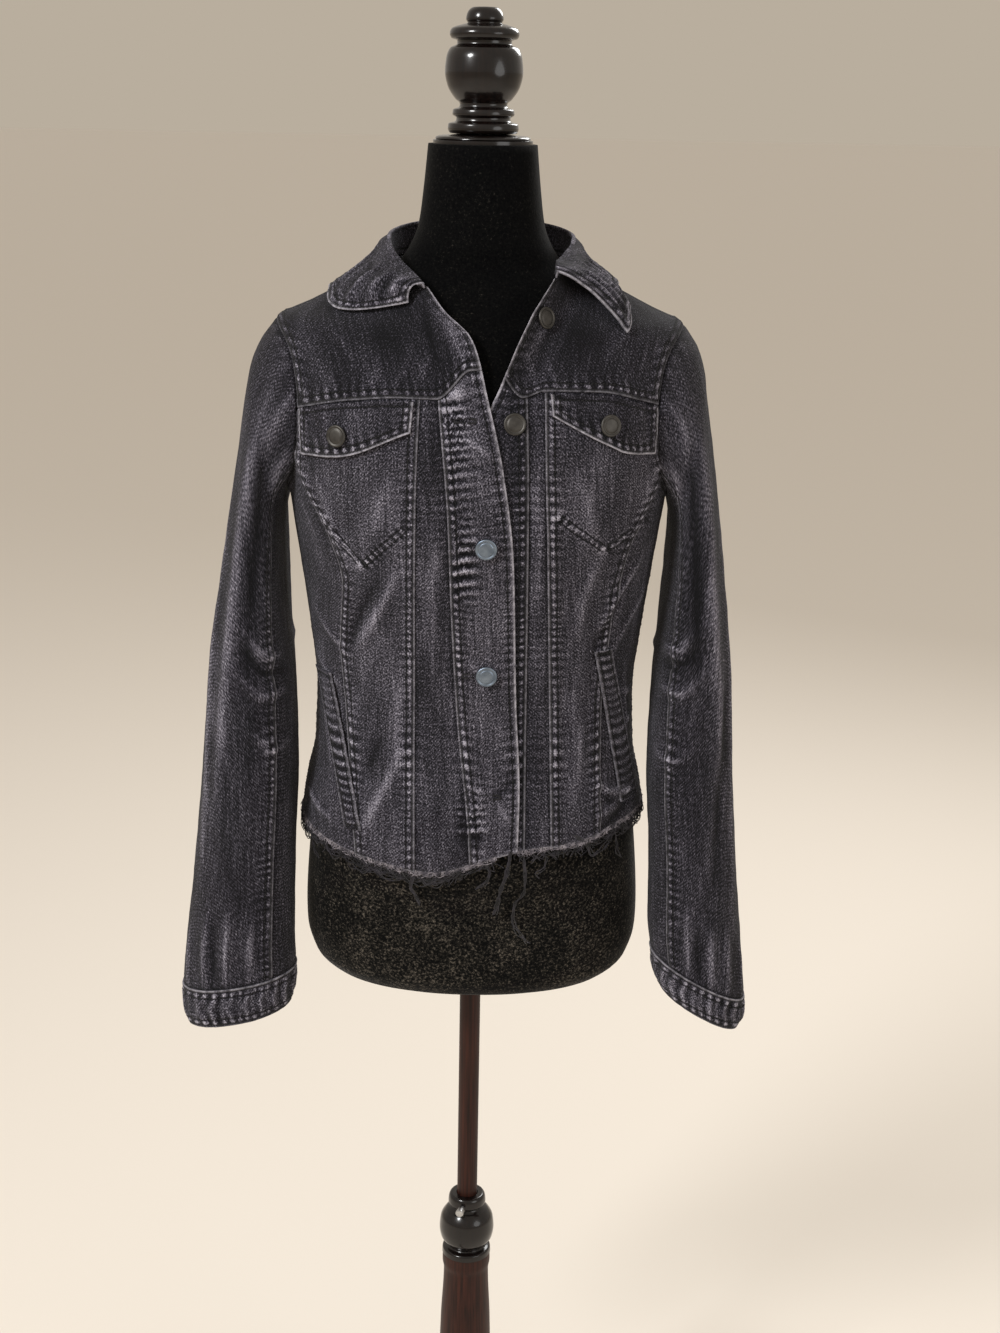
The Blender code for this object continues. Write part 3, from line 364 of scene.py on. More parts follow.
def seam_run(name, side, low, high):
    """Up a front seam from one height to another."""
    return lambda u: (seam_way(name, side, low + (high - low) * u), low + (high - low) * u)


def level_run(name, start, end):
    """Along a level seam from one direction to another."""
    return lambda u: (start + (end - start) * u, level(name, start + (end - start) * u))


def hem_run(side, start, end):
    return lambda u: (start + (end - start) * u, level("hem", side * (start + (end - start) * u)))


def armhole(turn):
    """The armhole by its turn in degrees: 0 at the shoulder tip, 90 at the front, 180 under the arm."""
    s, c = np.sin(np.radians(turn)), np.cos(np.radians(turn))
    share = 2 / ARMHOLE_POWER
    way = 90 - ARMHOLE_SPREAD * np.sign(s) * np.abs(s) ** share
    return way, ARMHOLE_Z + ARMHOLE_RISE * np.sign(c) * np.abs(c) ** share


def armhole_turn(z):
    c = (z - ARMHOLE_Z) / ARMHOLE_RISE
    return math.degrees(math.acos(math.copysign(abs(c) ** (ARMHOLE_POWER / 2), c)))


def armhole_run(start, end):
    return lambda u: armhole(start + (end - start) * u)


def crossing(name, side, level_name):
    """The height at which a front seam meets a level seam."""
    z = 1.29 if level_name != "hem" else 0.87
    for _ in range(30):
        way = seam_way(name, side, z)
        z = float(level(level_name, side * way if level_name == "hem" else way))
    return z


def yoke_turn(side):
    """The armhole's turn where the front yoke's seam meets it."""
    z = 1.275
    for _ in range(30):
        way, _ = armhole(armhole_turn(z))
        z = float(level(("yoke", side), way))
    return armhole_turn(z)


def outer_turn(side):
    """The armhole's turn where the outer front seam starts."""
    turns = np.linspace(95, 175, 400)
    way, z = armhole(turns)
    return float(turns[np.argmin(np.abs(seam_way("outer", side, z) - way))])


def front_patches(side):
    """The patches of one front, by name."""
    hem = {name: crossing(name, side, "hem") for name in ("edge", "placket", "inner", "outer")}
    yoke = {name: crossing(name, side, ("yoke", side)) for name in ("edge", "placket", "inner")}
    ways = {name: float(seam_way(name, side, z)) for name, z in hem.items()}
    tops = {name: float(seam_way(name, side, z)) for name, z in yoke.items()}
    at_yoke, at_outer = yoke_turn(side), outer_turn(side)
    outer_z = float(armhole(at_outer)[1])
    yoke_way = float(armhole(at_yoke)[0])

    def strip(inner, outer):
        return coons(
            hem_run(side, ways[inner], ways[outer]),
            level_run(("yoke", side), tops[inner], tops[outer]),
            seam_run(inner, side, hem[inner], yoke[inner]),
            seam_run(outer, side, hem[outer], yoke[outer]),
        )

    rise = joined(
        seam_run("outer", side, hem["outer"], outer_z),
        armhole_run(at_outer, at_yoke),
        BELOW_ARMHOLE / POCKET_ROWS,
    )
    corner = NECK_CORNER[side]
    neck = through([(0, *corner), (0.45, 60, 1.3905), (1, *NECK_SIDE)])
    return {
        "placket": strip("edge", "placket"),
        "centre": strip("placket", "inner"),
        "pocket": coons(
            hem_run(side, ways["inner"], ways["outer"]),
            level_run(("yoke", side), tops["inner"], yoke_way),
            seam_run("inner", side, hem["inner"], yoke["inner"]),
            rise,
        ),
        "side": coons(
            hem_run(side, ways["outer"], 90),
            armhole_run(at_outer, 180),
            seam_run("outer", side, hem["outer"], outer_z),
            straight((90, float(level("hem", side * 90))), (90, float(armhole(180)[1]))),
        ),
        "yoke": coons(
            level_run(("yoke", side), tops["edge"], yoke_way),
            joined(lambda u: tuple(np.moveaxis(neck(u), -1, 0)), straight(NECK_SIDE, SHOULDER_TIP), 0.5),
            seam_run("edge", side, yoke["edge"], corner[1]),
            armhole_run(at_yoke, 0),
        ),
    }


def back_patches():
    """The patches of the back by name. Directions run from 90, the wearer's left side, to 270."""
    yoke_z = float(level("back", 90 + ARMHOLE_SPREAD))
    at_yoke = 360 - armhole_turn(yoke_z)
    seam_top, seam_foot = 136.0, 152.0

    def mirrored(curve):
        return lambda u: (360 - curve(u)[0], curve(u)[1])

    def hem(u, start, end):
        way = start + (end - start) * u
        return way, level("hem", np.where(way > 180, way - 360, way))

    def back_yoke(start, end):
        def curve(u):
            way = start + (end - start) * u
            return way, level("back", np.where(way > 180, 360 - way, way))

        return curve

    def side_seam(u):
        foot, top = float(hem(0, seam_foot, seam_foot)[1]), float(level("back", seam_top))
        shape = through([(0, seam_foot, foot), (0.45, 147, 1.05), (0.8, 140, 1.19), (1, seam_top, top)])
        return tuple(np.moveaxis(shape(u), -1, 0))

    def right_seam(u):
        way, z = side_seam(u)
        foot = hem(1, 360 - seam_foot, 360 - seam_foot)[1]
        return 360 - way, z + (foot - hem(0, seam_foot, seam_foot)[1]) * (1 - u)

    arm = armhole_run(at_yoke, 360)
    neck = through([(0, *NECK_SIDE), (0.5, 135, 1.3995), (1, *NECK_BACK)])

    def half_neck(u):
        return tuple(np.moveaxis(neck(u), -1, 0))

    def turned_back(curve):
        return lambda u: (360 - curve(1 - u)[0], curve(1 - u)[1])

    full_neck = joined(half_neck, turned_back(half_neck), 0.5)
    to_neck = straight(SHOULDER_TIP, NECK_SIDE)
    side_top = joined(
        armhole_run(180, at_yoke),
        back_yoke(float(armhole(at_yoke)[0]), seam_top),
        0.62,
    )
    return {
        "back_yoke": coons(
            back_yoke(float(armhole(at_yoke)[0]), 360 - float(armhole(at_yoke)[0])),
            joined(joined(to_neck, full_neck, 0.4), turned_back(to_neck), 0.72),
            arm,
            mirrored(arm),
        ),
        "back_centre": coons(
            lambda u: hem(u, seam_foot, 360 - seam_foot),
            back_yoke(seam_top, 360 - seam_top),
            side_seam,
            right_seam,
        ),
        "back_side_left": coons(
            lambda u: hem(u, 90, seam_foot),
            side_top,
            straight((90, float(level("hem", 90))), (90, float(armhole(180)[1]))),
            side_seam,
        ),
        "back_side_right": coons(
            lambda u: hem(u, 270, 360 - seam_foot),
            mirrored(side_top),
            straight((270, float(level("hem", -90))), (270, float(armhole(180)[1]))),
            right_seam,
        ),
    }


def round_sleeve_ring(side, across, along):
    """The sleeve's first ring as an oval."""
    out_x, out_z, in_x, in_z, mid_y, depth = SLEEVE[side][0][1:]
    x = (out_x + in_x) / 2 + (out_x - in_x) / 2 * across
    z = (out_z + in_z) / 2 + (out_z - in_z) / 2 * across
    return np.stack([side * x, mid_y - depth * along, z], axis=-1)


def round_sleeve(side, turn, at):
    """The outer face of a sleeve: turn in degrees from the top towards the front, at along it."""
    turn, at = np.broadcast_arrays(np.asarray(turn, float), np.asarray(at, float))
    out_x, out_z, in_x, in_z, mid_y, depth = np.moveaxis(sleeve_at[side](at), -1, 0)
    s, c = np.sin(np.radians(turn)), np.cos(np.radians(turn))
    across = np.sign(c) * np.abs(c) ** 0.92
    along = np.sign(s) * np.abs(s) ** 0.92
    x = (out_x + in_x) / 2 + (out_x - in_x) / 2 * across
    z = (out_z + in_z) / 2 + (out_z - in_z) / 2 * across
    tube = np.stack([side * x, mid_y - depth * along, z], axis=-1)
    if not (at < SLEEVE_BLEND).any():
        return tube
    # Near the shoulder the oval gives way to the armhole's own shape.
    way, height = armhole(turn)
    start = body(side * way, height)
    start[..., 0] += side * SLEEVE_START
    ring = round_sleeve_ring(side, across, along)
    return tube + (start - ring) * (1 - fade(at, 0.0, SLEEVE_BLEND))[..., None]


def sleeve_place(side, first_turn, last_turn, start, end, rise=None):
    def place(s, t, height):
        turn = first_turn + (last_turn - first_turn) * s
        at = start + (end - start) * t
        point = round_sleeve(side, turn, at)
        around = round_sleeve(side, turn + 1, at) - round_sleeve(side, turn - 1, at)
        down = round_sleeve(side, turn, at + 0.004) - round_sleeve(side, turn, at - 0.004)
        normal = unit(np.cross(around, down)) * side
        off = height + (rise(s) if rise else 0)
        return point + normal * off[..., None]

    return place


def collar_spine(at):
    """The collar's neck seam, fold and edge at a station."""
    neck_way, neck_z, stand, lean, edge_way, edge_z = np.moveaxis(collar_at(at), -1, 0)
    corner = np.where(at < 0.5, -1, 1)
    ends = np.clip(1 - np.minimum(at, 1 - at) / 0.18, 0, 1)
    roll = np.zeros_like(neck_z)
    for side in (-1, 1):
        off = front_height(side, np.abs(((neck_way + 180) % 360) - 180), neck_z)
        roll = np.where(corner == side, off * fade(ends, 0, 1), roll)
    side_way = outward(neck_way, neck_z)
    level_way = side_way * np.array([1, 1, 0])
    neck = body(neck_way, neck_z) + side_way * (roll + COLLAR_OFF)[..., None]
    up = np.array([0, 0, 1.0])
    fold = neck + up * stand[..., None] + unit(level_way) * lean[..., None]
    edge = body(edge_way, edge_z) + outward(edge_way, edge_z) * EDGE_OFF
    return neck, fold, edge, unit(level_way)


def collar_point(at, share):
    """The collar's outer face: up the inside of the stand from the neck seam, over the fold and down."""
    neck, fold, edge, level_way = collar_spine(at)
    share = share[..., None]
    up = np.clip(share / COLLAR_FOLD, 0, 1)
    down = np.clip((share - COLLAR_FOLD) / (1 - COLLAR_FOLD), 0, 1)
    tall = np.linalg.norm(fold - neck, axis=-1, keepdims=True)
    stand = neck + (fold - neck) * np.sin(up * np.pi / 2)
    round_over = np.minimum(0.0045 + 0.15 * tall, 0.008) * fade(down, 0, 0.25)
    fall = fold + (edge - fold) * down**1.15
    belly = outward_up(fold, edge) * COLLAR_BULGE * 4 * down * (1 - down)
    return np.where(share < COLLAR_FOLD, stand, fall + level_way * round_over * (1 - down) + belly)


def outward_up(fold, edge):
    """Across the leaf, away from the body."""
    run = unit(edge - fold)
    side = unit(np.cross(run, np.array([0, 0, 1.0])) + 1e-9)
    return unit(np.cross(side, run))


# ---------------------------------------------------------------- materials


def colour(text):
    """An sRGB hex value as linear RGBA."""
    parts = [int(text[i : i + 2], 16) / 255 for i in (1, 3, 5)]
    return (*(v / 12.92 if v <= 0.04045 else ((v + 0.055) / 1.055) ** 2.4 for v in parts), 1.0)


def add_node(tree, kind, inputs=None, stops=(), **settings):
    """Adds a node with its settings and links. An input is a constant, a socket, or a node's first socket."""
    made = tree.nodes.new(kind)
    for key, value in settings.items():
        setattr(made, key, value)
    for key, value in (inputs or {}).items():
        if isinstance(value, bpy.types.Node):
            value = value.outputs[0]
        if isinstance(value, bpy.types.NodeSocket):
            tree.links.new(value, made.inputs[key])
        else:
            made.inputs[key].default_value = value
    for i, (place, value) in enumerate(stops):
        elements = made.color_ramp.elements
        element = elements[i] if i < len(elements) else elements.new(place)
        element.position, element.color = place, colour(value)
    return made


def new_material(name, **sockets):
    """A material whose shader has these constants. Returns it with its tree and its shader."""
    made = bpy.data.materials.new(name)
    made.use_nodes = True
    tree = made.node_tree
    shader = tree.nodes["Principled BSDF"]
    for key, value in sockets.items():
        shader.inputs[key.replace("_", " ")].default_value = value
    return made, tree, shader


def finish_with(tree, shader, shown, height, strength, distance):
    """Links a colour to the shader, and a height to its normal."""
    bump = add_node(tree, "ShaderNodeBump", {"Height": height, "Strength": strength, "Distance": distance})
    tree.links.new(shown, shader.inputs["Base Color"])
    tree.links.new(bump.outputs[0], shader.inputs["Normal"])


ROWS = (0.0023, 0.0082)  # how far the two rows of a double seam are from its edge


def strip(tree, distance, centre, reach=0.0014):
    """One along a line at this distance from an edge, and nothing a reach away from it."""
    off = add_node(tree, "ShaderNodeMath", {0: distance, 1: centre}, operation="SUBTRACT")
    off = add_node(tree, "ShaderNodeMath", {0: off}, operation="ABSOLUTE")
    return add_node(tree, "ShaderNodeMapRange", {
        "Value": off, "From Min": 0.0, "From Max": reach, "To Min": 1.0, "To Max": 0.0,
    }, interpolation_type="SMOOTHSTEP")


def denim(name, tint):
    """Cotton denim, black sulphur-dyed warp over a grey weft, stone-washed: matt, with a salt-and-pepper
    grain, paler where folds and puckers rubbed in the wash, with painted shade in the grooves of its
    stitching and the painted highlight and shade that its wear attribute carries in places."""
    made, tree, shader = new_material(name, Roughness=0.95, Specular_IOR_Level=0.16, Sheen_Weight=0.06,
                                      Sheen_Roughness=0.5)
    place = add_node(tree, "ShaderNodeTexCoord").outputs["Object"]
    cut = add_node(tree, "ShaderNodeUVMap", uv_map="cut")
    wear_and_painted_light, rub, double, single = (
        add_node(tree, "ShaderNodeAttribute", attribute_name=kept).outputs["Fac"]
        for kept in ("wear_and_painted_light", "rub", "double", "single"))
    # Cloudy wash in patches about 30 mm wide and 90 mm long
    drawn = add_node(tree, "ShaderNodeMapping", {"Vector": cut, "Scale": (34.0, 11.0, 1.0)})
    cloud = add_node(tree, "ShaderNodeTexNoise", {
        "Vector": drawn, "Scale": 1.0, "Detail": 5.0, "Roughness": 0.62})
    # Warp streaks: 2.5 mm apart and 50 mm long
    along = add_node(tree, "ShaderNodeMapping", {"Vector": cut, "Scale": (400.0, 20.0, 1.0)})
    streak = add_node(tree, "ShaderNodeTexNoise", {
        "Vector": along, "Scale": 1.0, "Detail": 3.0, "Roughness": 0.65})
    # Weft showing between warp threads: real threads are 0.5 mm apart, drawn up to 2 mm so that they show
    across = add_node(tree, "ShaderNodeMapping", {"Vector": cut, "Scale": (680.0, 520.0, 1.0)})
    speck = add_node(tree, "ShaderNodeTexNoise", {
        "Vector": across, "Scale": 1.0, "Detail": 2.0, "Roughness": 0.8})
    # Twill lines, drawn 1.6 mm apart
    twill = add_node(tree, "ShaderNodeTexWave",
                     {"Vector": cut, "Scale": 200.0, "Distortion": 1.5, "Detail": 1.0, "Detail Scale": 60.0},
                     wave_type="BANDS", bands_direction="DIAGONAL").outputs["Fac"]
    # Grooves that each row of stitches pulls in, and the rubbed ridge between two rows
    first, second = ROWS
    groove = strip(tree, single, 0.0)
    for distance in ROWS:
        row = strip(tree, double, distance)
        groove = add_node(tree, "ShaderNodeMath", {0: groove, 1: row}, operation="MAXIMUM")
    ridge = strip(tree, double, (first + second) / 2, 0.0019)
    # How pale the cloth is: wear, which carries painted highlight and shade in places, and each source's
    # share round its own middle; the grooves' share is painted shade along the rows of stitches
    paleness = wear_and_painted_light
    for source, share, middle in (
        (groove, -0.42, 0.0), (ridge, 0.14, 0.0), (cloud, 0.62, 0.5), (streak, 0.60, 0.5), (speck, 2.15, 0.5),
        (twill, 0.14, 0.5),
    ):
        part = add_node(tree, "ShaderNodeMath", {0: source, 1: share, 2: -share * middle},
                        operation="MULTIPLY_ADD")
        paleness = add_node(tree, "ShaderNodeMath", {0: paleness, 1: part})
    cloth_colour = add_node(tree, "ShaderNodeValToRGB", {"Fac": paleness}, stops=tint)
    # A folded edge rubs pale unevenly
    break_up = add_node(tree, "ShaderNodeTexNoise", {"Vector": place, "Scale": 170.0, "Detail": 4.0})
    broken = add_node(tree, "ShaderNodeMapRange", {"Value": break_up, "From Min": 0.30, "From Max": 0.62,
                                                   "To Min": 0.15, "To Max": 1.0})
    rubbed = add_node(tree, "ShaderNodeMath", {0: rub, 1: broken}, operation="MULTIPLY")
    mixed = add_node(tree, "ShaderNodeMix", {"Factor": rubbed, 6: cloth_colour, 7: colour("#b3b0ba")},
                     data_type="RGBA")
    rough = add_node(tree, "ShaderNodeMath", {0: twill, 1: 0.35, 2: speck}, operation="MULTIPLY_ADD")
    rough = add_node(tree, "ShaderNodeMath", {0: rough, 1: groove}, operation="SUBTRACT")
    finish_with(tree, shader, mixed.outputs[2], rough, 0.9, 0.0008)
    return made


def thread(name, dark, pale):
    """Spun cotton thread: matt and slightly hairy, each with its own share of wash."""
    made, tree, shader = new_material(name, Roughness=0.85, Specular_IOR_Level=0.3, Sheen_Weight=0.15)
    place = add_node(tree, "ShaderNodeTexCoord").outputs["Object"]
    patch = add_node(tree, "ShaderNodeTexNoise", {"Vector": place, "Scale": 160.0, "Detail": 2.0})
    ply = add_node(tree, "ShaderNodeTexNoise", {"Vector": place, "Scale": 2200.0, "Detail": 1.0})
    shown = add_node(tree, "ShaderNodeValToRGB", {"Fac": patch}, stops=((0.35, dark), (0.68, pale)))
    finish_with(tree, shader, shown.outputs[0], ply, 0.4, 0.0002)
    return made


def velvet(name):
    """Cotton velvet, black: the pile swallows light head on and shows a soft sheen at grazing angles, and
    holds a little pale lint, more of it low down."""
    made, tree, shader = new_material(name, Roughness=1.0, Specular_IOR_Level=0.05, Sheen_Weight=0.10,
                                      Sheen_Roughness=0.35)
    place = add_node(tree, "ShaderNodeTexCoord").outputs["Object"]
    pile = add_node(tree, "ShaderNodeTexNoise", {
        "Vector": place, "Scale": 400.0, "Detail": 3.0, "Roughness": 0.8})
    brushed = add_node(tree, "ShaderNodeTexNoise", {"Vector": place, "Scale": 26.0, "Detail": 3.0})
    height = add_node(tree, "ShaderNodeSeparateXYZ", {"Vector": place}).outputs["Z"]
    low = add_node(tree, "ShaderNodeMapRange", {"Value": height, "From Min": 0.82, "From Max": 1.2,
                                                "To Min": 0.13, "To Max": 0.0})
    shade = add_node(tree, "ShaderNodeMath", {0: brushed, 1: 0.16, 2: low}, operation="MULTIPLY_ADD")
    shade = add_node(tree, "ShaderNodeMath", {0: pile, 1: 0.84, 2: shade}, operation="MULTIPLY_ADD")
    shown = add_node(tree, "ShaderNodeValToRGB", {"Fac": shade}, stops=(
        (0.40, "#030304"), (0.60, "#0a0a0a"), (0.68, "#24221f"), (0.80, "#615b53")))
    finish_with(tree, shader, shown.outputs[0], pile, 0.6, 0.0008)
    return made


def wood(name, dark, pale, roughness, coat):
    """Turned beech, stained dark and varnished: fine grain along the length under a clear coat."""
    made, tree, shader = new_material(name, Roughness=roughness, Coat_Weight=coat, Coat_Roughness=0.10,
                                      Specular_IOR_Level=0.22)
    place = add_node(tree, "ShaderNodeTexCoord").outputs["Object"]
    along = add_node(tree, "ShaderNodeMapping", {"Vector": place, "Scale": (420.0, 420.0, 14.0)})
    grain = add_node(tree, "ShaderNodeTexNoise", {"Vector": along, "Scale": 1.0, "Detail": 4.0})
    shown = add_node(tree, "ShaderNodeValToRGB", {"Fac": grain}, stops=((0.32, dark), (0.68, pale)))
    finish_with(tree, shader, shown.outputs[0], grain, 0.06, 0.0003)
    return made


def button_metal(name, dark, pale, roughness):
    """Zinc alloy plated dull gunmetal, tumbled: a broad soft highlight and faint scuffs."""
    made, tree, shader = new_material(name, Metallic=1.0, Roughness=roughness)
    place = add_node(tree, "ShaderNodeTexCoord").outputs["Object"]
    scuff = add_node(tree, "ShaderNodeTexNoise", {"Vector": place, "Scale": 140.0, "Detail": 2.0})
    shown = add_node(tree, "ShaderNodeValToRGB", {"Fac": scuff}, stops=((0.30, dark), (0.72, pale)))
    finish_with(tree, shader, shown.outputs[0], scuff, 0.05, 0.0001)
    return made


def rubber(name):
    """Moulded black rubber: matt, with a fine mould texture."""
    made, tree, shader = new_material(name, Roughness=0.8)
    place = add_node(tree, "ShaderNodeTexCoord").outputs["Object"]
    skin = add_node(tree, "ShaderNodeTexNoise", {"Vector": place, "Scale": 900.0, "Detail": 2.0})
    shown = add_node(tree, "ShaderNodeValToRGB", {"Fac": skin}, stops=((0.3, "#141414"), (0.7, "#242424")))
    finish_with(tree, shader, shown.outputs[0], skin, 0.3, 0.0002)
    return made


DENIM = denim("stonewashed_black_denim", ((0.0, "#08080c"), (0.20, "#19181e"), (0.42, "#38363e"),
                                          (0.66, "#6d6a75"), (1.0, "#b2afbb")))
TOPSTITCH = thread("black_topstitch_thread", "#0b0a0d", "#1d1b20")
FRAYED = thread("frayed_warp_thread", "#45414a", "#9c959b")
LOOSE = thread("loose_black_thread", "#0c0b0e", "#2e2b32")
VELVET = velvet("black_cotton_velvet")
STAINED = wood("cherry_stained_beech", "#1a0a06", "#391b12", 0.50, 0.03)
LACQUERED = wood("black_lacquered_beech", "#050303", "#120a08", 0.25, 0.45)
BRONZE = button_metal("dull_gunmetal", "#403e3c", "#54524f", 0.50)
# The fastened buttons' metal is a paler, bluer copy of the same gunmetal: painted sheen where they catch the
# light
GUNMETAL_PAINTED_SHEEN = button_metal("gunmetal_with_painted_sheen", "#66717f", "#848f9c", 0.42)
SCREW = button_metal("nickel_plate", "#9b9b9b", "#c9c9c9", 0.25)
RUBBER = rubber("moulded_black_rubber")


# ---------------------------------------------------------------- relief of the cloth

WALL = 0.0011  # one layer of the denim
TWO_LAYERS = 0.0019
STEP = 0.0024  # spacing of the mesh on the body
FELL = 0.0095  # width of a felled seam
RUNG = 0.0083  # distance between the ladder puckers along a seam
PITCH = 0.0035  # from one stitch to the next
FAR = 0.05  # stands for a distance to a seam that isn't near
WORN = 0.30  # how pale the wash left the plain cloth, from 0 to 1
INSIDE = 0.55  # the same for its inner face
CREASE_SHARE = 1.3  # of the heights in the tables of creases
CREASE_NARROW = 0.9  # and of their widths
# Where the ladder's puckers lie: their distance from the edge, their half width and their share
PUCKERS = ((0.0052, 0.0044, 1.0), (0.0125, 0.0050, 0.30))
PUCKER_WORN = 0.46  # how much paler a full pucker's crest is
STITCH_DEEP = 0.00030
STITCH_HALF = 0.0012
FOLD_ROUND = 0.0013  # how far in from its edge a fold rounds off
FOLD_DEEP = 0.00050

# How an edge of a panel is sewn: how far it reaches over its neighbour, how far the felled seam stands up,
# the distances of its stitch rows, the height of its ladder puckers, and how pale its fold is rubbed.
Edge = namedtuple("Edge", "over lift rows ladder rub")
UNDER = Edge(-0.0001, 0.0, (), 0.00010, 0.0)
FELLED = Edge(0.0010, 0.0013, ROWS, 0.00050, 0.32)
SET_IN = Edge(0.0010, 0.0010, ROWS, 0.00022, 0.12)
CLOSED = Edge(-0.0001, 0.0, (0.0045,), 0.0, 0.0)
FOLDED = Edge(-0.0001, 0.0, (0.0062,), 0.00030, 0.95)
WELTED = Edge(-0.0001, 0.0, (0.0040,), 0.00045, 0.30)
TWICE = Edge(-0.0001, 0.0, ROWS, 0.00045, 0.90)
CUFF_TOP = Edge(-0.0001, 0.0, ROWS, 0.00065, 0.60)
CUFF_END = Edge(-0.0001, 0.0, ROWS, 0.00055, 0.12)
RAW = Edge(-0.0003, 0.0, (), 0.0, 0.45)

# A soft ridge (or, with a negative height, a trough) along a run of points. A ladder runs along a seam.
# A crease's pale share makes the cloth paler, or darker when negative: painted highlight and painted shade on
# the yoke and front, a rubbed fold along the pocket's V.
Crease = namedtuple("Crease", "run height width ladder pale", defaults=(0.0, 0.0))


def noise_at(points, size, seed):
    """Smooth noise from -1 to 1 at each point, with lumps of this size."""
    offset = Vector((seed * 7.31, seed * 3.17, seed * 5.03))
    return np.array([noise.noise(Vector(p) / size + offset) for p in points])


def ladder(along, seed=0.0):
    """Uneven puckers along a seam, from -1 to 1."""
    bend = 0.30 * np.sin(along / 0.0137 + 2.1 * seed) + 0.45 * np.sin(along / 0.0291 + seed)
    wave = np.sin(math.tau * along / RUNG + math.tau * bend)
    return wave * (0.72 + 0.28 * np.sin(along / 0.019 + 1.7 * seed))


def dense(run, gap=0.0022):
    """Points close together along a run of a few, on a smooth curve, and the length up to each."""
    run = np.array(run, float)
    reach = np.concatenate([[0], np.cumsum(np.linalg.norm(np.diff(run, axis=0), axis=1))])
    count = max(6, int(reach[-1] / gap))
    at = np.linspace(0, reach[-1], count)
    return through(np.column_stack([reach, run]))(at), at


def crease_relief(points, creases):
    """The height the creases add at each point, and the change in paleness: crests paler, troughs darker."""
    height, wear_and_painted_light = np.zeros(len(points)), np.zeros(len(points))
    for crease in creases:
        line, reach = dense(crease.run)
        margin = 3 * crease.width
        near = ((points > line.min(axis=0) - margin) & (points < line.max(axis=0) + margin)).all(axis=1)
        if not near.any():
            continue
        gaps = np.linalg.norm(points[near][:, None] - line[None], axis=2)
        nearest = gaps.argmin(axis=1)
        off = gaps.min(axis=1) / crease.width
        taper = np.sin(math.pi * (nearest + 0.5) / len(line)) ** 0.6
        bell = np.exp(-(off**2))
        height[near] += crease.height * bell * taper
        if crease.ladder:
            rungs = ladder(reach[nearest], crease.width * 1000)
            height[near] += crease.ladder * rungs * bell
            wear_and_painted_light[near] += 0.70 * rungs * bell
        # Crests paler, troughs darker, and the pale share on top: painted highlight and shade where the
        # tables give one
        crest = np.clip(crease.height / 0.0080, -0.28, 0.32)
        wear_and_painted_light[near] += crest * np.exp(-((1.5 * off) ** 2)) * taper + crease.pale * bell * taper
    return height, wear_and_painted_light


def spaced(length, step):
    """Shares from 0 to 1 along a length, close together at both ends, where an edge is rounded."""
    near = np.array([0.0, 0.0004, 0.0011, 0.0022])
    inner = np.linspace(0.0022, length - 0.0022, max(2, round((length - 0.0044) / step)) + 1)[1:-1]
    return np.concatenate([near, inner, length - near[::-1]]) / length


def add_piece(name, bm, finish, node=None, body="form"):
    """Makes a visible piece of a mesh, with its finish, the solid it stands for and the body it rides on."""
    mesh = bpy.data.meshes.new(name)
    bm.to_mesh(mesh)
    bm.free()
    mesh.materials.append(finish)
    mesh.shade_smooth()
    made = bpy.data.objects.new(name, mesh)
    bpy.context.scene.collection.objects.link(made)
    if node:
        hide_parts(node)
    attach(made, body)
    return made


# A piece of cloth before its relief: m by n faces, its points by s and t, its size and each point's distance
# from each of its four edges
Sheet = namedtuple("Sheet", "m n s t base normals wide tall off")
Panel = namedtuple("Panel", "points normals left bottom edges")
PANELS = {}


def laid_out(place, edges, step):
    """The sheet on a surface, its edges moved out by how far they reach over their neighbours."""
    middle, ends = np.full(17, 0.5), np.linspace(0, 1, 17)
    wide = np.linalg.norm(np.diff(place(ends, middle, 0 * ends), axis=0), axis=1).sum()
    tall = np.linalg.norm(np.diff(place(middle, ends, 0 * ends), axis=0), axis=1).sum()
    left, right, bottom, top = edges
    s = -left.over / wide + spaced(wide, step) * (1 + (left.over + right.over) / wide)
    t = -bottom.over / tall + spaced(tall, step) * (1 + (bottom.over + top.over) / tall)
    m, n = len(s) - 1, len(t) - 1
    ss, tt = (a.ravel() for a in np.meshgrid(s, t, indexing="ij"))
    base = place(ss, tt, 0 * ss)
    normals = unit(place(ss, tt, 0 * ss + 0.001) - base)
    grid = base.reshape(m + 1, n + 1, 3)
    along_s = np.linalg.norm(np.diff(grid, axis=0), axis=2)
    along_t = np.linalg.norm(np.diff(grid, axis=1), axis=2)
    from_left = np.vstack([np.zeros((1, n + 1)), np.cumsum(along_s, axis=0)])
    from_bottom = np.hstack([np.zeros((m + 1, 1)), np.cumsum(along_t, axis=1)])
    off = from_left, from_left[-1:] - from_left, from_bottom, from_bottom[:, -1:] - from_bottom
    return Sheet(m, n, ss, tt, base, normals, wide, tall, [a.ravel() for a in off])


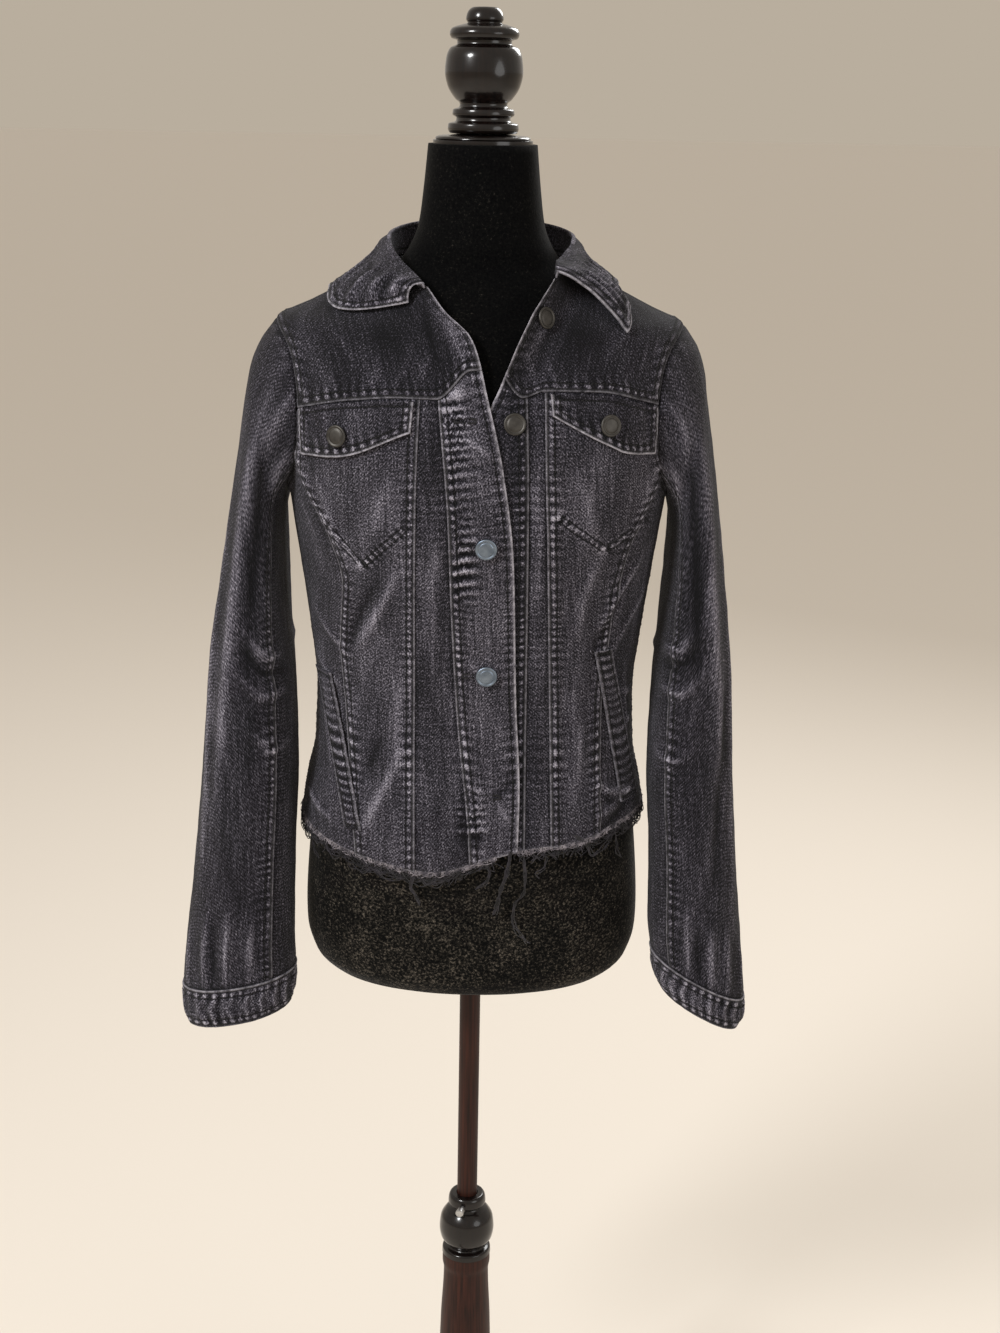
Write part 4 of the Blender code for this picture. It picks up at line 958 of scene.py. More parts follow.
def seam_relief(sheet, edges, seams):
    """What the sewn edges give each point: the lift of a felled seam, dips and puckers, wear with painted
    shade along an edge that goes under its neighbour, rub, and how far it is from an edge with two rows of
    stitches and from a single row."""
    lift, dips, wear_and_painted_light, rub = (np.zeros(len(sheet.base)) for _ in range(4))
    double, single = (np.full(len(sheet.base), FAR) for _ in range(2))
    for edge, d, axis in zip(edges, sheet.off, seams):
        along = sheet.base[:, 2] if axis == "z" else sheet.base[:, 0]
        rungs = ladder(along + 0.15 * d, 1.0)
        band = sum(share * np.exp(-(((d - at) / half) ** 2)) for at, half, share in PUCKERS)
        dips += edge.ladder * rungs * band
        wear_and_painted_light += PUCKER_WORN * rungs * band * min(edge.ladder / 0.0005, 1)
        lift = np.maximum(lift, edge.lift * (1 - fade(d, FELL, FELL + 0.0028)))
        for row in edge.rows:
            dips -= STITCH_DEEP * np.exp(-(((d - row) / STITCH_HALF) ** 2))
        if len(edge.rows) == 2:
            double = np.minimum(double, d)
        elif edge.rows:
            single = np.where(np.abs(d - edge.rows[0]) < np.abs(single), d - edge.rows[0], single)
        if edge.rub:
            rub = np.maximum(rub, edge.rub * (1 - fade(d, 0.0008, 0.0026)))
            dips -= FOLD_DEEP * (1 - np.clip(d / FOLD_ROUND, 0, 1)) ** 2
        elif edge is UNDER:
            # Where an edge goes under its neighbour the cloth dips, and painted shade darkens it
            dips -= 0.0002 * (1 - fade(d, 0, 0.003))
            wear_and_painted_light -= 0.30 * (1 - fade(d, 0.0010, 0.0040))
    return lift, dips, wear_and_painted_light, rub, double, single


def shell(name, node, sheet, points, wall, kept, seed):
    """Closes a sheet as a thin shell of denim. kept holds what its material reads, by name: the values on
    the outer face and on the inner one."""
    m, n = sheet.m, sheet.n
    bm = bmesh.new()
    bmesh.ops.create_grid(bm, x_segments=m, y_segments=n, size=0.5)
    grown = bmesh.ops.extrude_face_region(bm, geom=bm.faces[:])
    inside = [v for v in grown["geom"] if isinstance(v, bmesh.types.BMVert)]
    bmesh.ops.translate(bm, verts=inside, vec=(0, 0, 1))
    bmesh.ops.recalc_face_normals(bm, faces=bm.faces)
    grid, normals = sheet.base.reshape(m + 1, n + 1, 3), sheet.normals.reshape(m + 1, n + 1, 3)
    i, j = m // 2, n // 2
    if np.cross(grid[i + 1, j] - grid[i, j], grid[i, j + 1] - grid[i, j]) @ normals[i, j] > 0:
        bmesh.ops.reverse_faces(bm, faces=bm.faces)
    made = add_piece(name, bm, DENIM, node)
    mesh = made.data
    flat = np.empty(len(mesh.vertices) * 3, np.float32)
    mesh.vertices.foreach_get("co", flat)
    flat = flat.reshape(-1, 3).astype(float)
    column, row = (np.rint((flat[:, i] + 0.5) * count).astype(int) for i, count in ((0, m), (1, n)))
    index, depth = column * (n + 1) + row, flat[:, 2]
    rounding = 1 - 0.28 * (1 - np.clip(np.minimum.reduce(sheet.off) / 0.0012, 0, 1))
    placed = points[index] - sheet.normals[index] * (wall * rounding[index] * depth)[:, None]
    mesh.vertices.foreach_set("co", placed.astype(np.float32).ravel())
    for key, (outer, inner) in kept.items():
        values = np.where(depth > 0.5, np.broadcast_to(inner, len(outer))[index], outer[index])
        mesh.attributes.new(key, "FLOAT", "POINT").data.foreach_set("value", values.astype(np.float32))
    corner = np.empty(len(mesh.loops), np.int32)
    mesh.loops.foreach_get("vertex_index", corner)
    cut = np.column_stack([sheet.off[0][index[corner]], sheet.off[2][index[corner]]]) + seed * 0.37
    mesh.uv_layers.new(name="cut").data.foreach_set("uv", cut.astype(np.float32).ravel())
    mesh.update()
    return made


def panel(name, node, place, edges, creases=(), wall=WALL, step=STEP, extra=None, seed=0,
          lumps=0.00040, wash=0.0, seams=("z", "z", "x", "x"), marks=()):
    """A piece of cloth with its relief: edges are those at s = 0, s = 1, t = 0 and t = 1."""
    sheet = laid_out(place, edges, step)
    base = sheet.base
    free = np.ones(len(base))
    for edge, d in zip(edges, sheet.off):
        if edge is UNDER:
            free *= fade(d, 0.0010, 0.0045)
    height, wear_and_painted_light = crease_relief(base, creases)
    lift, dips, seam_wear_and_shade, rub, double, single = seam_relief(sheet, edges, seams)
    height += lumps * noise_at(base, 0.021, seed + 1) + 0.4 * lumps * noise_at(base, 0.0075, seed + 2)
    height = height * free + lift * free + dips
    if extra is not None:
        height += extra(sheet.s, sheet.t, base)
    for run in marks:
        line, _ = dense(run, 0.0010)
        gaps = np.linalg.norm(base[:, None] - line[None], axis=2)
        nearest, gap = gaps.argmin(axis=1), gaps.min(axis=1) - (ROWS[1] - ROWS[0]) / 2
        within = (nearest > 0) & (nearest < len(line) - 1) & (np.abs(gap) < np.abs(single))
        single = np.where(within, gap, single)
    wear_and_painted_light = np.clip(WORN + wash + (wear_and_painted_light + seam_wear_and_shade) * (0.4 + 0.6 * free), -0.3, 1)
    points = base + sheet.normals * height[:, None]
    for edge, d in zip(edges, sheet.off):
        if edge is RAW:
            ragged = 0.0011 * noise_at(base * np.array([1, 1, 0.2]), 0.0035, seed + 3)
            points[:, 2] += ragged * (1 - fade(d, 0, 0.006))
    kept = {"wear_and_painted_light": (wear_and_painted_light, INSIDE), "rub": (rub, 0.5 * rub), "double": (double, FAR), "single": (single, FAR)}
    made = shell(name, node, sheet, points, wall, kept, seed)

    m, n = sheet.m, sheet.n
    grid = base.reshape(m + 1, n + 1, 3)
    diagonals = grid[1:, 1:] - grid[:-1, :-1], grid[:-1, 1:] - grid[1:, :-1]
    area = float(np.linalg.norm(np.cross(*diagonals), axis=2).sum() / 2)
    flat_size = (max(sheet.wide, area / sheet.tall), sheet.tall)
    area = min(area, flat_size[0] * flat_size[1])
    PANELS[name] = Panel(points.reshape(grid.shape), sheet.normals.reshape(grid.shape),
                         *(sheet.off[i].reshape(m + 1, n + 1) for i in (0, 2)), edges)


# ---------------------------------------------------------------- stitches

STITCH = (0.00132, 0.00042, 0.00034)  # half a stitch's length, width and height
TRIM = 0.0015  # how far a row of stitches stops short of its end


def bead(bm, centre, axes, halves):
    """A small rounded bead of thread."""
    turned = Matrix(np.column_stack([axis * half for axis, half in zip(axes, halves)]).tolist()).to_4x4()
    place = Matrix.Translation(Vector(centre)) @ turned
    bmesh.ops.create_icosphere(bm, subdivisions=1, radius=1.0, matrix=place)


def rows_of(name):
    """The stitch rows beside the edges of a panel: runs of points and normals on its finished surface."""
    p = PANELS[name]
    tall, wide = p.bottom, p.left
    sides = (
        (p.edges[0], wide, 1, False), (p.edges[1], wide[-1:] - wide, 1, True),
        (p.edges[2], tall, 0, False), (p.edges[3], tall[:, -1:] - tall, 0, True),
    )
    runs = []
    for edge, off, axis, back in sides:
        for row in edge.rows:
            run = []
            for k in range(off.shape[axis]):
                line = (slice(None), k) if axis == 1 else (k, slice(None))
                d, points, normals = off[line], p.points[line], p.normals[line]
                if back:
                    d, points, normals = d[::-1], points[::-1], normals[::-1]
                if d[-1] < 2 * row:
                    continue
                i = min(max(int(np.searchsorted(d, row)), 1), len(d) - 1)
                share = (row - d[i - 1]) / (d[i] - d[i - 1])
                run.append((points[i - 1] + (points[i] - points[i - 1]) * share, normals[i]))
            if len(run) > 2:
                runs.append(run)
    return runs


def sew(name, runs):
    """Rows of topstitching: each stitch is a small flattened bead of thread along its row."""
    bm = bmesh.new()
    wobble = random.Random(len(name) * 7)
    for run in runs:
        points = np.array([p for p, _ in run])
        normals = np.array([n for _, n in run])
        reach = np.concatenate([[0], np.cumsum(np.linalg.norm(np.diff(points, axis=0), axis=1))])
        at = TRIM + PITCH / 2
        while at < reach[-1] - TRIM - PITCH / 2:
            middle = np.array([np.interp(at, reach, points[:, k]) for k in range(3)])
            ahead = np.array([np.interp(at + 0.0012, reach, points[:, k]) for k in range(3)]) - middle
            normal = unit(np.array([np.interp(at, reach, normals[:, k]) for k in range(3)]))
            ahead = unit(ahead - normal * (ahead @ normal) + 1e-12)
            bead(bm, middle + normal * 0.00012, (ahead, np.cross(normal, ahead), normal), STITCH)
            at += PITCH * wobble.uniform(0.94, 1.06)
    return add_piece(name, bm, TOPSTITCH)


# ---------------------------------------------------------------- the jacket's body


def on_front(side, run, lift=0.0):
    """Points of a front from (x, z), x counted from the middle towards the wearer's left."""
    run = np.array(run, float)
    z = run[:, 1]
    way = facing(side * run[:, 0], z)
    return body(side * way, z) + outward(side * way, z) * (front_height(side, way, z) + lift)[:, None]


def on_back(run):
    run = np.array(run, float)
    return body(run[:, 0], run[:, 1])


def creases_on(to_points, rows):
    """Rows of (height in mm, width in mm, run)."""
    return [Crease(to_points(run), CREASE_SHARE * height / 1000, CREASE_NARROW * width / 1000)
            for height, width, *run in rows]


FRONT_CREASES = {
    -1: creases_on(lambda run: on_front(-1, run), [
        (2.4, 7, (-0.066, 1.140), (-0.085, 1.098), (-0.106, 1.058)),
        (-1.6, 7, (-0.086, 1.128), (-0.103, 1.090), (-0.116, 1.055)),
        (2.0, 8, (-0.064, 0.968), (-0.084, 0.920), (-0.103, 0.882)),
        (-1.2, 8, (-0.084, 0.975), (-0.102, 0.930)),
        (1.0, 9, (-0.074, 1.222), (-0.087, 1.190), (-0.094, 1.160)),
        (2.0, 5, (-0.165, 1.242), (-0.151, 1.205), (-0.138, 1.168)),
        (-1.4, 5, (-0.160, 1.228), (-0.146, 1.190), (-0.132, 1.150)),
        (1.8, 4, (-0.143, 1.218), (-0.128, 1.176), (-0.113, 1.134)),
        (1.5, 5, (-0.148, 1.085), (-0.130, 1.062), (-0.112, 1.048)),
        (1.3, 5, (-0.150, 1.040), (-0.132, 1.020), (-0.116, 1.012)),
        (1.2, 4, (-0.142, 1.000), (-0.137, 0.960), (-0.132, 0.925)),
        (1.4, 4, (-0.128, 0.985), (-0.124, 0.945), (-0.118, 0.905)),
        (2.2, 5, (-0.166, 0.912), (-0.148, 0.895), (-0.128, 0.884)),
        (0.9, 9, (-0.032, 1.200), (-0.038, 1.110), (-0.036, 1.020)),
        (0.8, 8, (-0.060, 1.040), (-0.070, 0.990), (-0.066, 0.930)),
    ]),
    1: creases_on(lambda run: on_front(1, run), [
        (3.2, 6, (0.152, 1.146), (0.132, 1.112), (0.112, 1.076)),
        (-1.8, 6, (0.142, 1.122), (0.124, 1.092), (0.112, 1.060)),
        (1.6, 6, (0.158, 1.110), (0.140, 1.078), (0.126, 1.050)),
        (1.2, 7, (0.112, 1.150), (0.098, 1.110), (0.094, 1.070)),
        (2.2, 5, (0.168, 1.244), (0.153, 1.205), (0.141, 1.168)),
        (-1.2, 5, (0.160, 1.224), (0.146, 1.185), (0.134, 1.150)),
        (1.6, 4, (0.122, 1.046), (0.126, 0.995), (0.134, 0.930)),
        (-1.0, 4, (0.129, 1.040), (0.133, 0.990), (0.141, 0.935)),
        (1.5, 4, (0.140, 1.035), (0.143, 0.985), (0.149, 0.930)),
        (2.8, 6, (0.162, 0.930), (0.140, 0.908), (0.114, 0.895)),
        (-1.8, 6, (0.160, 0.915), (0.140, 0.896), (0.120, 0.885)),
        (1.1, 9, (0.050, 1.240), (0.056, 1.165), (0.052, 1.090)),
        (1.0, 9, (0.090, 1.020), (0.098, 0.965), (0.094, 0.905)),
        (0.9, 8, (0.085, 1.235), (0.098, 1.200), (0.104, 1.160)),
    ]),
}
YOKE_CREASES = {
    side: creases_on(lambda run, side=side: on_front(side, [(side * x, z) for x, z in run]), [
        (0.9, 5, (0.060, 1.322), (0.068, 1.306), (0.080, 1.294)),
        (0.8, 4, (0.085, 1.318), (0.092, 1.304), (0.101, 1.292)),
        (0.9, 5, (0.040, 1.330), (0.047, 1.315), (0.052, 1.300)),
        (0.8, 5, (0.125, 1.312), (0.128, 1.298), (0.134, 1.286)),
        (0.8, 7, (0.160, 1.335), (0.158, 1.305), (0.150, 1.280)),
        (0.8, 6, (0.135, 1.352), (0.120, 1.335), (0.110, 1.322)),
    ])
    for side in (-1, 1)
}
# The band of the front opening goes on up through the yoke: painted highlight where it rolls up towards
# the light, painted shade in the trough beside it on the right and under the collar on both sides
YOKE_CREASES[-1] += [
    Crease(on_front(-1, [(-0.034, 1.374), (-0.019, 1.342), (-0.007, 1.314)]), 0.0006, 0.0110, pale=0.24),
    Crease(on_front(-1, [(-0.048, 1.374), (-0.043, 1.346), (-0.036, 1.318)]), -0.0011, 0.0032, pale=-0.16),
    Crease(on_front(-1, [(-0.051, 1.350), (-0.082, 1.340), (-0.112, 1.345)]), 0.0, 0.0150, pale=-0.16),
]
YOKE_CREASES[1] += [
    Crease(on_front(1, [(0.066, 1.360), (0.088, 1.345), (0.112, 1.338)]), 0.0, 0.0150, pale=-0.16),
    Crease(on_front(1, [(0.040, 1.322), (0.052, 1.340), (0.062, 1.362)]), 0.0008, 0.0040, pale=0.12),
]
# Puckers that run from the band's seam towards the buttons, with painted shade along the trough beside them,
# and the pull round the lowest buttonhole
FRONT_CREASES[-1] += [
    Crease(on_front(-1, [(-0.021, 1.292), (-0.011, 1.165), (0.001, 0.890)]), 0.0, 0.0110, 0.0021),
    Crease(on_front(-1, [(-0.027, 1.280), (-0.016, 1.120), (-0.007, 0.900)]), -0.0004, 0.0050, 0.0010, -0.08),
] + creases_on(lambda run: on_front(-1, run), [
    (1.6, 4, (-0.006, 0.938), (0.004, 0.930), (0.012, 0.926)),
    (1.4, 4, (-0.004, 0.906), (0.004, 0.914), (0.011, 0.920)),
    (-1.2, 4, (0.022, 0.925), (0.030, 0.930), (0.037, 0.938)),
    (1.2, 4, (0.024, 0.918), (0.030, 0.910), (0.035, 0.900)),
    (1.2, 4, (-0.004, 1.052), (0.002, 1.045), (0.008, 1.041)),
    (1.2, 4, (-0.006, 1.176), (0.000, 1.169), (0.006, 1.164)),
    (1.4, 5, (-0.012, 1.262), (0.004, 1.250), (0.016, 1.242)),
    (-1.1, 4, (-0.018, 1.246), (-0.004, 1.236), (0.010, 1.232)),
])
FRONT_CREASES[1] += creases_on(lambda run: on_front(1, run), [
    (3.0, 5, (0.112, 0.932), (0.128, 0.918), (0.150, 0.912)),
    (-2.2, 4, (0.118, 0.920), (0.134, 0.906), (0.156, 0.903)),
    (2.0, 4, (0.126, 0.965), (0.140, 0.950), (0.158, 0.948)),
    (1.8, 4, (0.124, 0.990), (0.142, 0.978), (0.160, 0.978)),
    (1.6, 4, (0.128, 1.016), (0.144, 1.006), (0.160, 1.004)),
])
BACK_CREASES = creases_on(on_back, [
    (2.6, 10, (150, 1.235), (154, 1.120), (158, 1.010)),
    (-1.8, 9, (163, 1.220), (166, 1.120), (168, 1.030)),
    (2.4, 10, (211, 1.240), (206, 1.130), (202, 1.015)),
    (-1.6, 9, (198, 1.200), (195, 1.110), (193, 1.020)),
    (2.0, 9, (180, 1.215), (178, 1.120), (181, 1.040)),
    (1.8, 8, (120, 1.200), (130, 1.150), (143, 1.110)),
    (1.8, 8, (238, 1.190), (229, 1.140), (216, 1.105)),
    (2.4, 8, (112, 1.055), (140, 1.030), (168, 1.040)),
    (2.0, 8, (250, 1.045), (222, 1.025), (195, 1.034)),
    (-1.5, 8, (115, 1.030), (142, 1.008), (166, 1.015)),
    (2.0, 9, (128, 0.975), (135, 0.925), (138, 0.885)),
    (2.0, 9, (231, 0.970), (225, 0.925), (221, 0.882)),
    (1.4, 9, (170, 0.980), (167, 0.930), (169, 0.885)),
    (1.2, 8, (140, 1.335), (155, 1.315), (170, 1.310)),
    (1.2, 8, (222, 1.332), (206, 1.312), (190, 1.308)),
])


# The V of stitches that holds each chest pocket's bag
POCKET_V = {-1: [(-0.134, 1.1790), (-0.101, 1.1415), (-0.0605, 1.1815)],
            1: [(0.0725, 1.1925), (0.1165, 1.1590), (0.1530, 1.1800)]}


def lines_of_v(side):
    """The V's two rows, each as two straight runs."""
    corner, tip, end = POCKET_V[side]
    rows = []
    for lower in (0.0, 0.0062):
        for run in (straight(corner, tip), straight(tip, end)):
            rows.append([(x, z - lower) for x, z in map(run, np.linspace(0, 1, 16))])
    return rows


PATCHES = {side: front_patches(side) for side in (-1, 1)}

for side, word in SIDES:
    patch = PATCHES[side]
    creases = list(FRONT_CREASES[side])
    folds_of_v = [on_front(side, [(x, z - 0.0031) for x, z in run]) for run in lines_of_v(side)[:2]]
    for run in folds_of_v:
        creases.append(Crease(run, 0.0005, 0.0050, 0.0006, 0.06))
    rolled = {name: placed_front(side, made) for name, made in patch.items()}
    # Painted shade on the under placket, where it lies under the over placket; the over placket is made a
    # little paler
    shade = -0.12 if side == 1 else 0.08
    panel(f"denim_yoke_front_{word}", f"front_yoke_{word}", rolled["yoke"], (FOLDED, SET_IN, FELLED, CLOSED),
          YOKE_CREASES[side], seed=3 + side, lumps=0.00025, wash=-0.12)
    panel(f"denim_centre_front_{word}", f"front_centre_{word}", rolled["centre"], (UNDER, UNDER, RAW, UNDER),
          creases, seed=5 + side)
    panel(f"denim_pocket_front_{word}", f"front_pocket_panel_{word}", rolled["pocket"],
          (FELLED, FELLED, RAW, UNDER), creases, seed=8 + side, wash=0.05, marks=folds_of_v)
    panel(f"denim_side_front_{word}", f"front_side_{word}", rolled["side"], (UNDER, UNDER, RAW, FELLED),
          creases, seed=11 + side)
    panel(f"denim_placket_{word}", f"placket_{word}", rolled["placket"], (FOLDED, FELLED, RAW, UNDER),
          creases, wall=TWO_LAYERS, seed=14 + side, wash=shade)

back = back_patches()
for part, node, edges, step, seed, lumps, wash in (
    ("yoke_back", "back_yoke", (SET_IN, SET_IN, FELLED, UNDER), 0.0034, 20, 0.00025, -0.05),
    ("centre_back", "back_centre", (FELLED, FELLED, RAW, UNDER), 0.0032, 21, 0.00040, 0.0),
    ("side_back_left", "back_side_left", (FELLED, UNDER, RAW, UNDER), 0.0032, 22, 0.00040, 0.0),
    ("side_back_right", "back_side_right", (FELLED, UNDER, RAW, UNDER), 0.0032, 23, 0.00040, 0.0),
):
    panel(f"denim_{part}", node, placed_back(back[node]), edges, BACK_CREASES, step=step, seed=seed,
          lumps=lumps, wash=wash)

# ---------------------------------------------------------------- flaps, welts, collar

BAND = 0.0014  # how far the felled seams under a flap push it up


def flap_place(side, patch):
    """The pocket flap: a piece of the pocket panel under the yoke seam, with a pointed lower edge."""
    drop = through(FLAP_DROP[side])

    def flap(s, t):
        along = FLAP_SPAN[side][0] + (FLAP_SPAN[side][1] - FLAP_SPAN[side][0]) * s
        way, top = patch(along, np.full_like(s, FLAP_TOP))
        return way, top - drop(s)[..., 0] * (1 - t)

    return placed_front(side, flap, lift=LIFT + DOUBLE)


def flap_extra(seed, wide):
    """The flap rides over the felled seams at both its ends, bellies a little and is crumpled by the wash."""

    def extra(s, t, base):
        near = np.minimum(s, 1 - s) * wide
        ride = BAND * (1 - fade(near, 0.0065, 0.011))
        belly = 0.0016 * np.sin(np.pi * np.clip(s, 0, 1)) * (1 - fade(t, 0.2, 0.9))
        return 0.0004 + ride + belly + 0.0009 * noise_at(base, 0.010, seed)

    return extra


def welt_place(side):
    """The slanted welt of the side pocket, a narrow strip across the outer seam."""
    (high, high_x), (low, low_x) = WELT[side]

    def strip(s, t):
        z = low + (high - low) * t
        x = low_x + (high_x - low_x) * t + (s - 0.5) * WELT_WIDTH
        return facing(x, z), z

    return placed_front(side, strip, lift=WELT_LIFT + CLOTH)


for side, word in SIDES:
    flap = flap_place(side, PATCHES[side]["pocket"])
    panel(f"denim_flap_{word}", f"pocket_flap_{word}", flap, (TWICE, TWICE, TWICE, CLOSED), wall=0.0015,
          step=0.0019, extra=flap_extra(40 + side, 0.105), seed=30 + side,
          wash=-0.03)
    panel(f"denim_welt_{word}", f"pocket_welt_{word}", welt_place(side), (WELTED, WELTED, CLOSED, CLOSED),
          creases_on(lambda run, side=side: on_front(side, [(side * x, z) for x, z in run]), [
              (1.0, 4, (0.114, 1.010), (0.134, 1.002)), (0.9, 4, (0.114, 0.985), (0.140, 0.972)),
              (1.0, 4, (0.112, 0.955), (0.142, 0.948)), (0.9, 4, (0.104, 0.925), (0.142, 0.920))]),
          wall=0.0013, step=0.0020, seed=33 + side,
          extra=lambda s, t, base: np.full(len(s), 0.0009), lumps=0.0006)


HUG = 0.0135  # how far the leaf hangs in towards the stand at the sides of the neck


def leaf_point(at, share):
    """The settled collar: at the sides of the neck the leaf falls close to the stand, then flares."""
    level_way = collar_spine(at)[3]
    down = np.clip((share - COLLAR_FOLD) / (1 - COLLAR_FOLD), 0, 1)
    side = fade(np.minimum(at, 1 - at), 0.10, 0.21) * (1 - 0.55 * fade(np.minimum(at, 1 - at), 0.34, 0.48))
    hang = (side * np.sin(np.pi * down) * HUG)[..., None]
    return collar_point(at, share) - hang * (level_way + np.array([0, 0, 0.30]))


def leaf_place(s, t, height):
    """The settled collar's surface, moved out by a height."""
    d = 0.004
    around = leaf_point(np.clip(s + d, 0, 1), t) - leaf_point(np.clip(s - d, 0, 1), t)
    across = leaf_point(s, np.clip(t + d, 0, 1)) - leaf_point(s, np.clip(t - d, 0, 1))
    return leaf_point(s, t) + unit(np.cross(around, across)) * height[..., None]


def on_collar(run):
    run = np.array(run, float)
    return leaf_point(run[:, 0], run[:, 1])


# Crinkles that run slanting across the leaf, and rolls along the fold
COLLAR_CREASES = creases_on(on_collar, [
    (2.2, 3.4, (at - 0.024, 0.99), (at, 0.80), (at + 0.018, 0.58))
    for at in (0.04, 0.085, 0.125, 0.175, 0.225, 0.31)
] + [
    (2.2, 3.4, (at + 0.024, 0.99), (at, 0.80), (at - 0.018, 0.58))
    for at in (0.96, 0.915, 0.87, 0.82, 0.765, 0.69)
] + [
    (-1.4, 3.4, (at - 0.020, 0.96), (at, 0.78), (at + 0.016, 0.62)) for at in (0.062, 0.148, 0.26)
] + [
    (-1.4, 3.4, (at + 0.020, 0.96), (at, 0.78), (at - 0.016, 0.62)) for at in (0.938, 0.845, 0.725)
] + [
    (0.9, 5, (at - 0.02, 0.97), (at, 0.75), (at + 0.01, 0.55)) for at in (0.42, 0.50, 0.58)
] + [
    (-0.9, 4, (0.08, 0.62), (0.16, 0.68), (0.23, 0.62)), (-0.9, 4, (0.92, 0.62), (0.84, 0.68), (0.77, 0.62)),
    (0.9, 5, (0.14, 0.10), (0.17, 0.28), (0.21, 0.40)), (0.9, 5, (0.86, 0.10), (0.83, 0.28), (0.79, 0.40)),
])
panel("denim_collar", "collar", leaf_place, (TWICE, TWICE, CLOSED, TWICE), COLLAR_CREASES, wall=0.0020,
      step=0.0021, seed=40, lumps=0.00055)

# ---------------------------------------------------------------- sleeves and cuffs


def on_sleeve(side):
    def points(run):
        run = np.array(run, float)
        return round_sleeve(side, run[:, 0], run[:, 1])

    return points


SLEEVE_CREASES = {
    -1: [
        (3.0, 10, (62, 0.06), (74, 0.24), (68, 0.50), (58, 0.78)),
        (-2.4, 9, (92, 0.10), (98, 0.34), (90, 0.58)),
        (2.2, 9, (22, 0.28), (34, 0.55), (44, 0.86)),
        (2.4, 7, (84, 0.470), (112, 0.500), (146, 0.495)),
        (-1.8, 6, (86, 0.505), (116, 0.532), (150, 0.525)),
        (2.2, 7, (80, 0.545), (112, 0.572), (150, 0.560)),
        (1.8, 6, (96, 0.620), (122, 0.650), (156, 0.640)),
        (2.4, 8, (78, 0.010), (84, 0.075), (98, 0.140)),
        (2.0, 8, (112, 0.020), (112, 0.090), (122, 0.160)),
        (2.2, 5, (56, 0.880), (58, 0.950), (60, 1.000)),
        (-1.6, 4, (68, 0.890), (69, 0.950), (70, 1.000)),
        (2.2, 5, (82, 0.870), (82, 0.940), (82, 1.000)),
        (2.0, 5, (104, 0.900), (104, 0.955), (104, 1.000)),
        (1.8, 5, (28, 0.900), (30, 0.955), (32, 1.000)),
        (2.6, 10, (205, 0.080), (216, 0.360), (204, 0.740)),
        (-2.0, 9, (232, 0.150), (240, 0.400), (232, 0.700)),
        (2.2, 9, (300, 0.200), (312, 0.480), (306, 0.800)),
        (2.2, 7, (210, 0.490), (236, 0.515), (262, 0.500)),
        (2.0, 5, (250, 0.900), (249, 0.955), (248, 1.000)),
        (2.0, 5, (300, 0.890), (300, 0.950), (300, 1.000)),
    ],
    1: [
        (2.8, 10, (54, 0.05), (66, 0.22), (62, 0.46), (50, 0.74)),
        (-2.4, 9, (86, 0.12), (94, 0.32), (88, 0.56)),
        (2.2, 9, (20, 0.34), (30, 0.60), (40, 0.90)),
        (2.2, 7, (88, 0.455), (116, 0.480), (150, 0.470)),
        (-1.8, 6, (90, 0.490), (120, 0.512), (152, 0.500)),
        (2.4, 7, (78, 0.530), (110, 0.560), (150, 0.550)),
        (1.6, 6, (94, 0.640), (120, 0.665), (154, 0.655)),
        (2.6, 8, (74, 0.010), (82, 0.085), (96, 0.150)),
        (2.0, 8, (114, 0.020), (114, 0.095), (124, 0.170)),
        (-1.8, 7, (40, 0.560), (56, 0.700), (70, 0.840)),
        (2.0, 5, (52, 0.880), (54, 0.945), (55, 1.000)),
        (2.2, 5, (76, 0.890), (77, 0.950), (78, 1.000)),
        (-1.4, 4, (90, 0.900), (90, 0.950), (90, 1.000)),
        (2.0, 5, (102, 0.880), (102, 0.945), (102, 1.000)),
        (1.8, 5, (24, 0.900), (26, 0.955), (28, 1.000)),
        (2.6, 10, (210, 0.100), (218, 0.380), (208, 0.720)),
        (-2.0, 9, (236, 0.140), (244, 0.420), (236, 0.720)),
        (2.2, 9, (296, 0.220), (308, 0.500), (302, 0.820)),
        (2.2, 7, (206, 0.500), (232, 0.525), (258, 0.510)),
        (2.0, 5, (246, 0.890), (246, 0.950), (246, 1.000)),
        (2.0, 5, (304, 0.900), (304, 0.955), (304, 1.000)),
    ],
}


def tuck(s, t, base):
    """A sleeve dips where it passes under the armhole's seam and into the cuff."""
    return -0.0009 * (1 - fade(t, 0.0, 0.008)) - 0.0003 * fade(t, 0.990, 1.0)


CUFF_LAST = CUFF_SEAM + 360 + CUFF_OVERLAP
CUFF_SHARE = CUFF_OVERLAP / (360 + CUFF_OVERLAP)  # of the cuff's length, which lies over its other end


def cuff_place(side, start):
    """The cuff from a place along the sleeve, with its buttoned end over the other."""

    def rise(s):
        return CUFF_LAP * fade(s, 1 - 1.9 * CUFF_SHARE, 1 - 1.05 * CUFF_SHARE)

    return sleeve_place(side, CUFF_SEAM, CUFF_LAST, start, 1.07, rise)


def cuff_puckers(side):
    """Slanting puckers all round a cuff, every third one lower."""
    return creases_on(on_sleeve(side), [
        (2.1 if turn % 3 else 1.3, 4, (turn, 1.008), (turn + 7 * side, 1.034), (turn + 2 - turn % 5, 1.062))
        for turn in range(-86, 262, 16)])


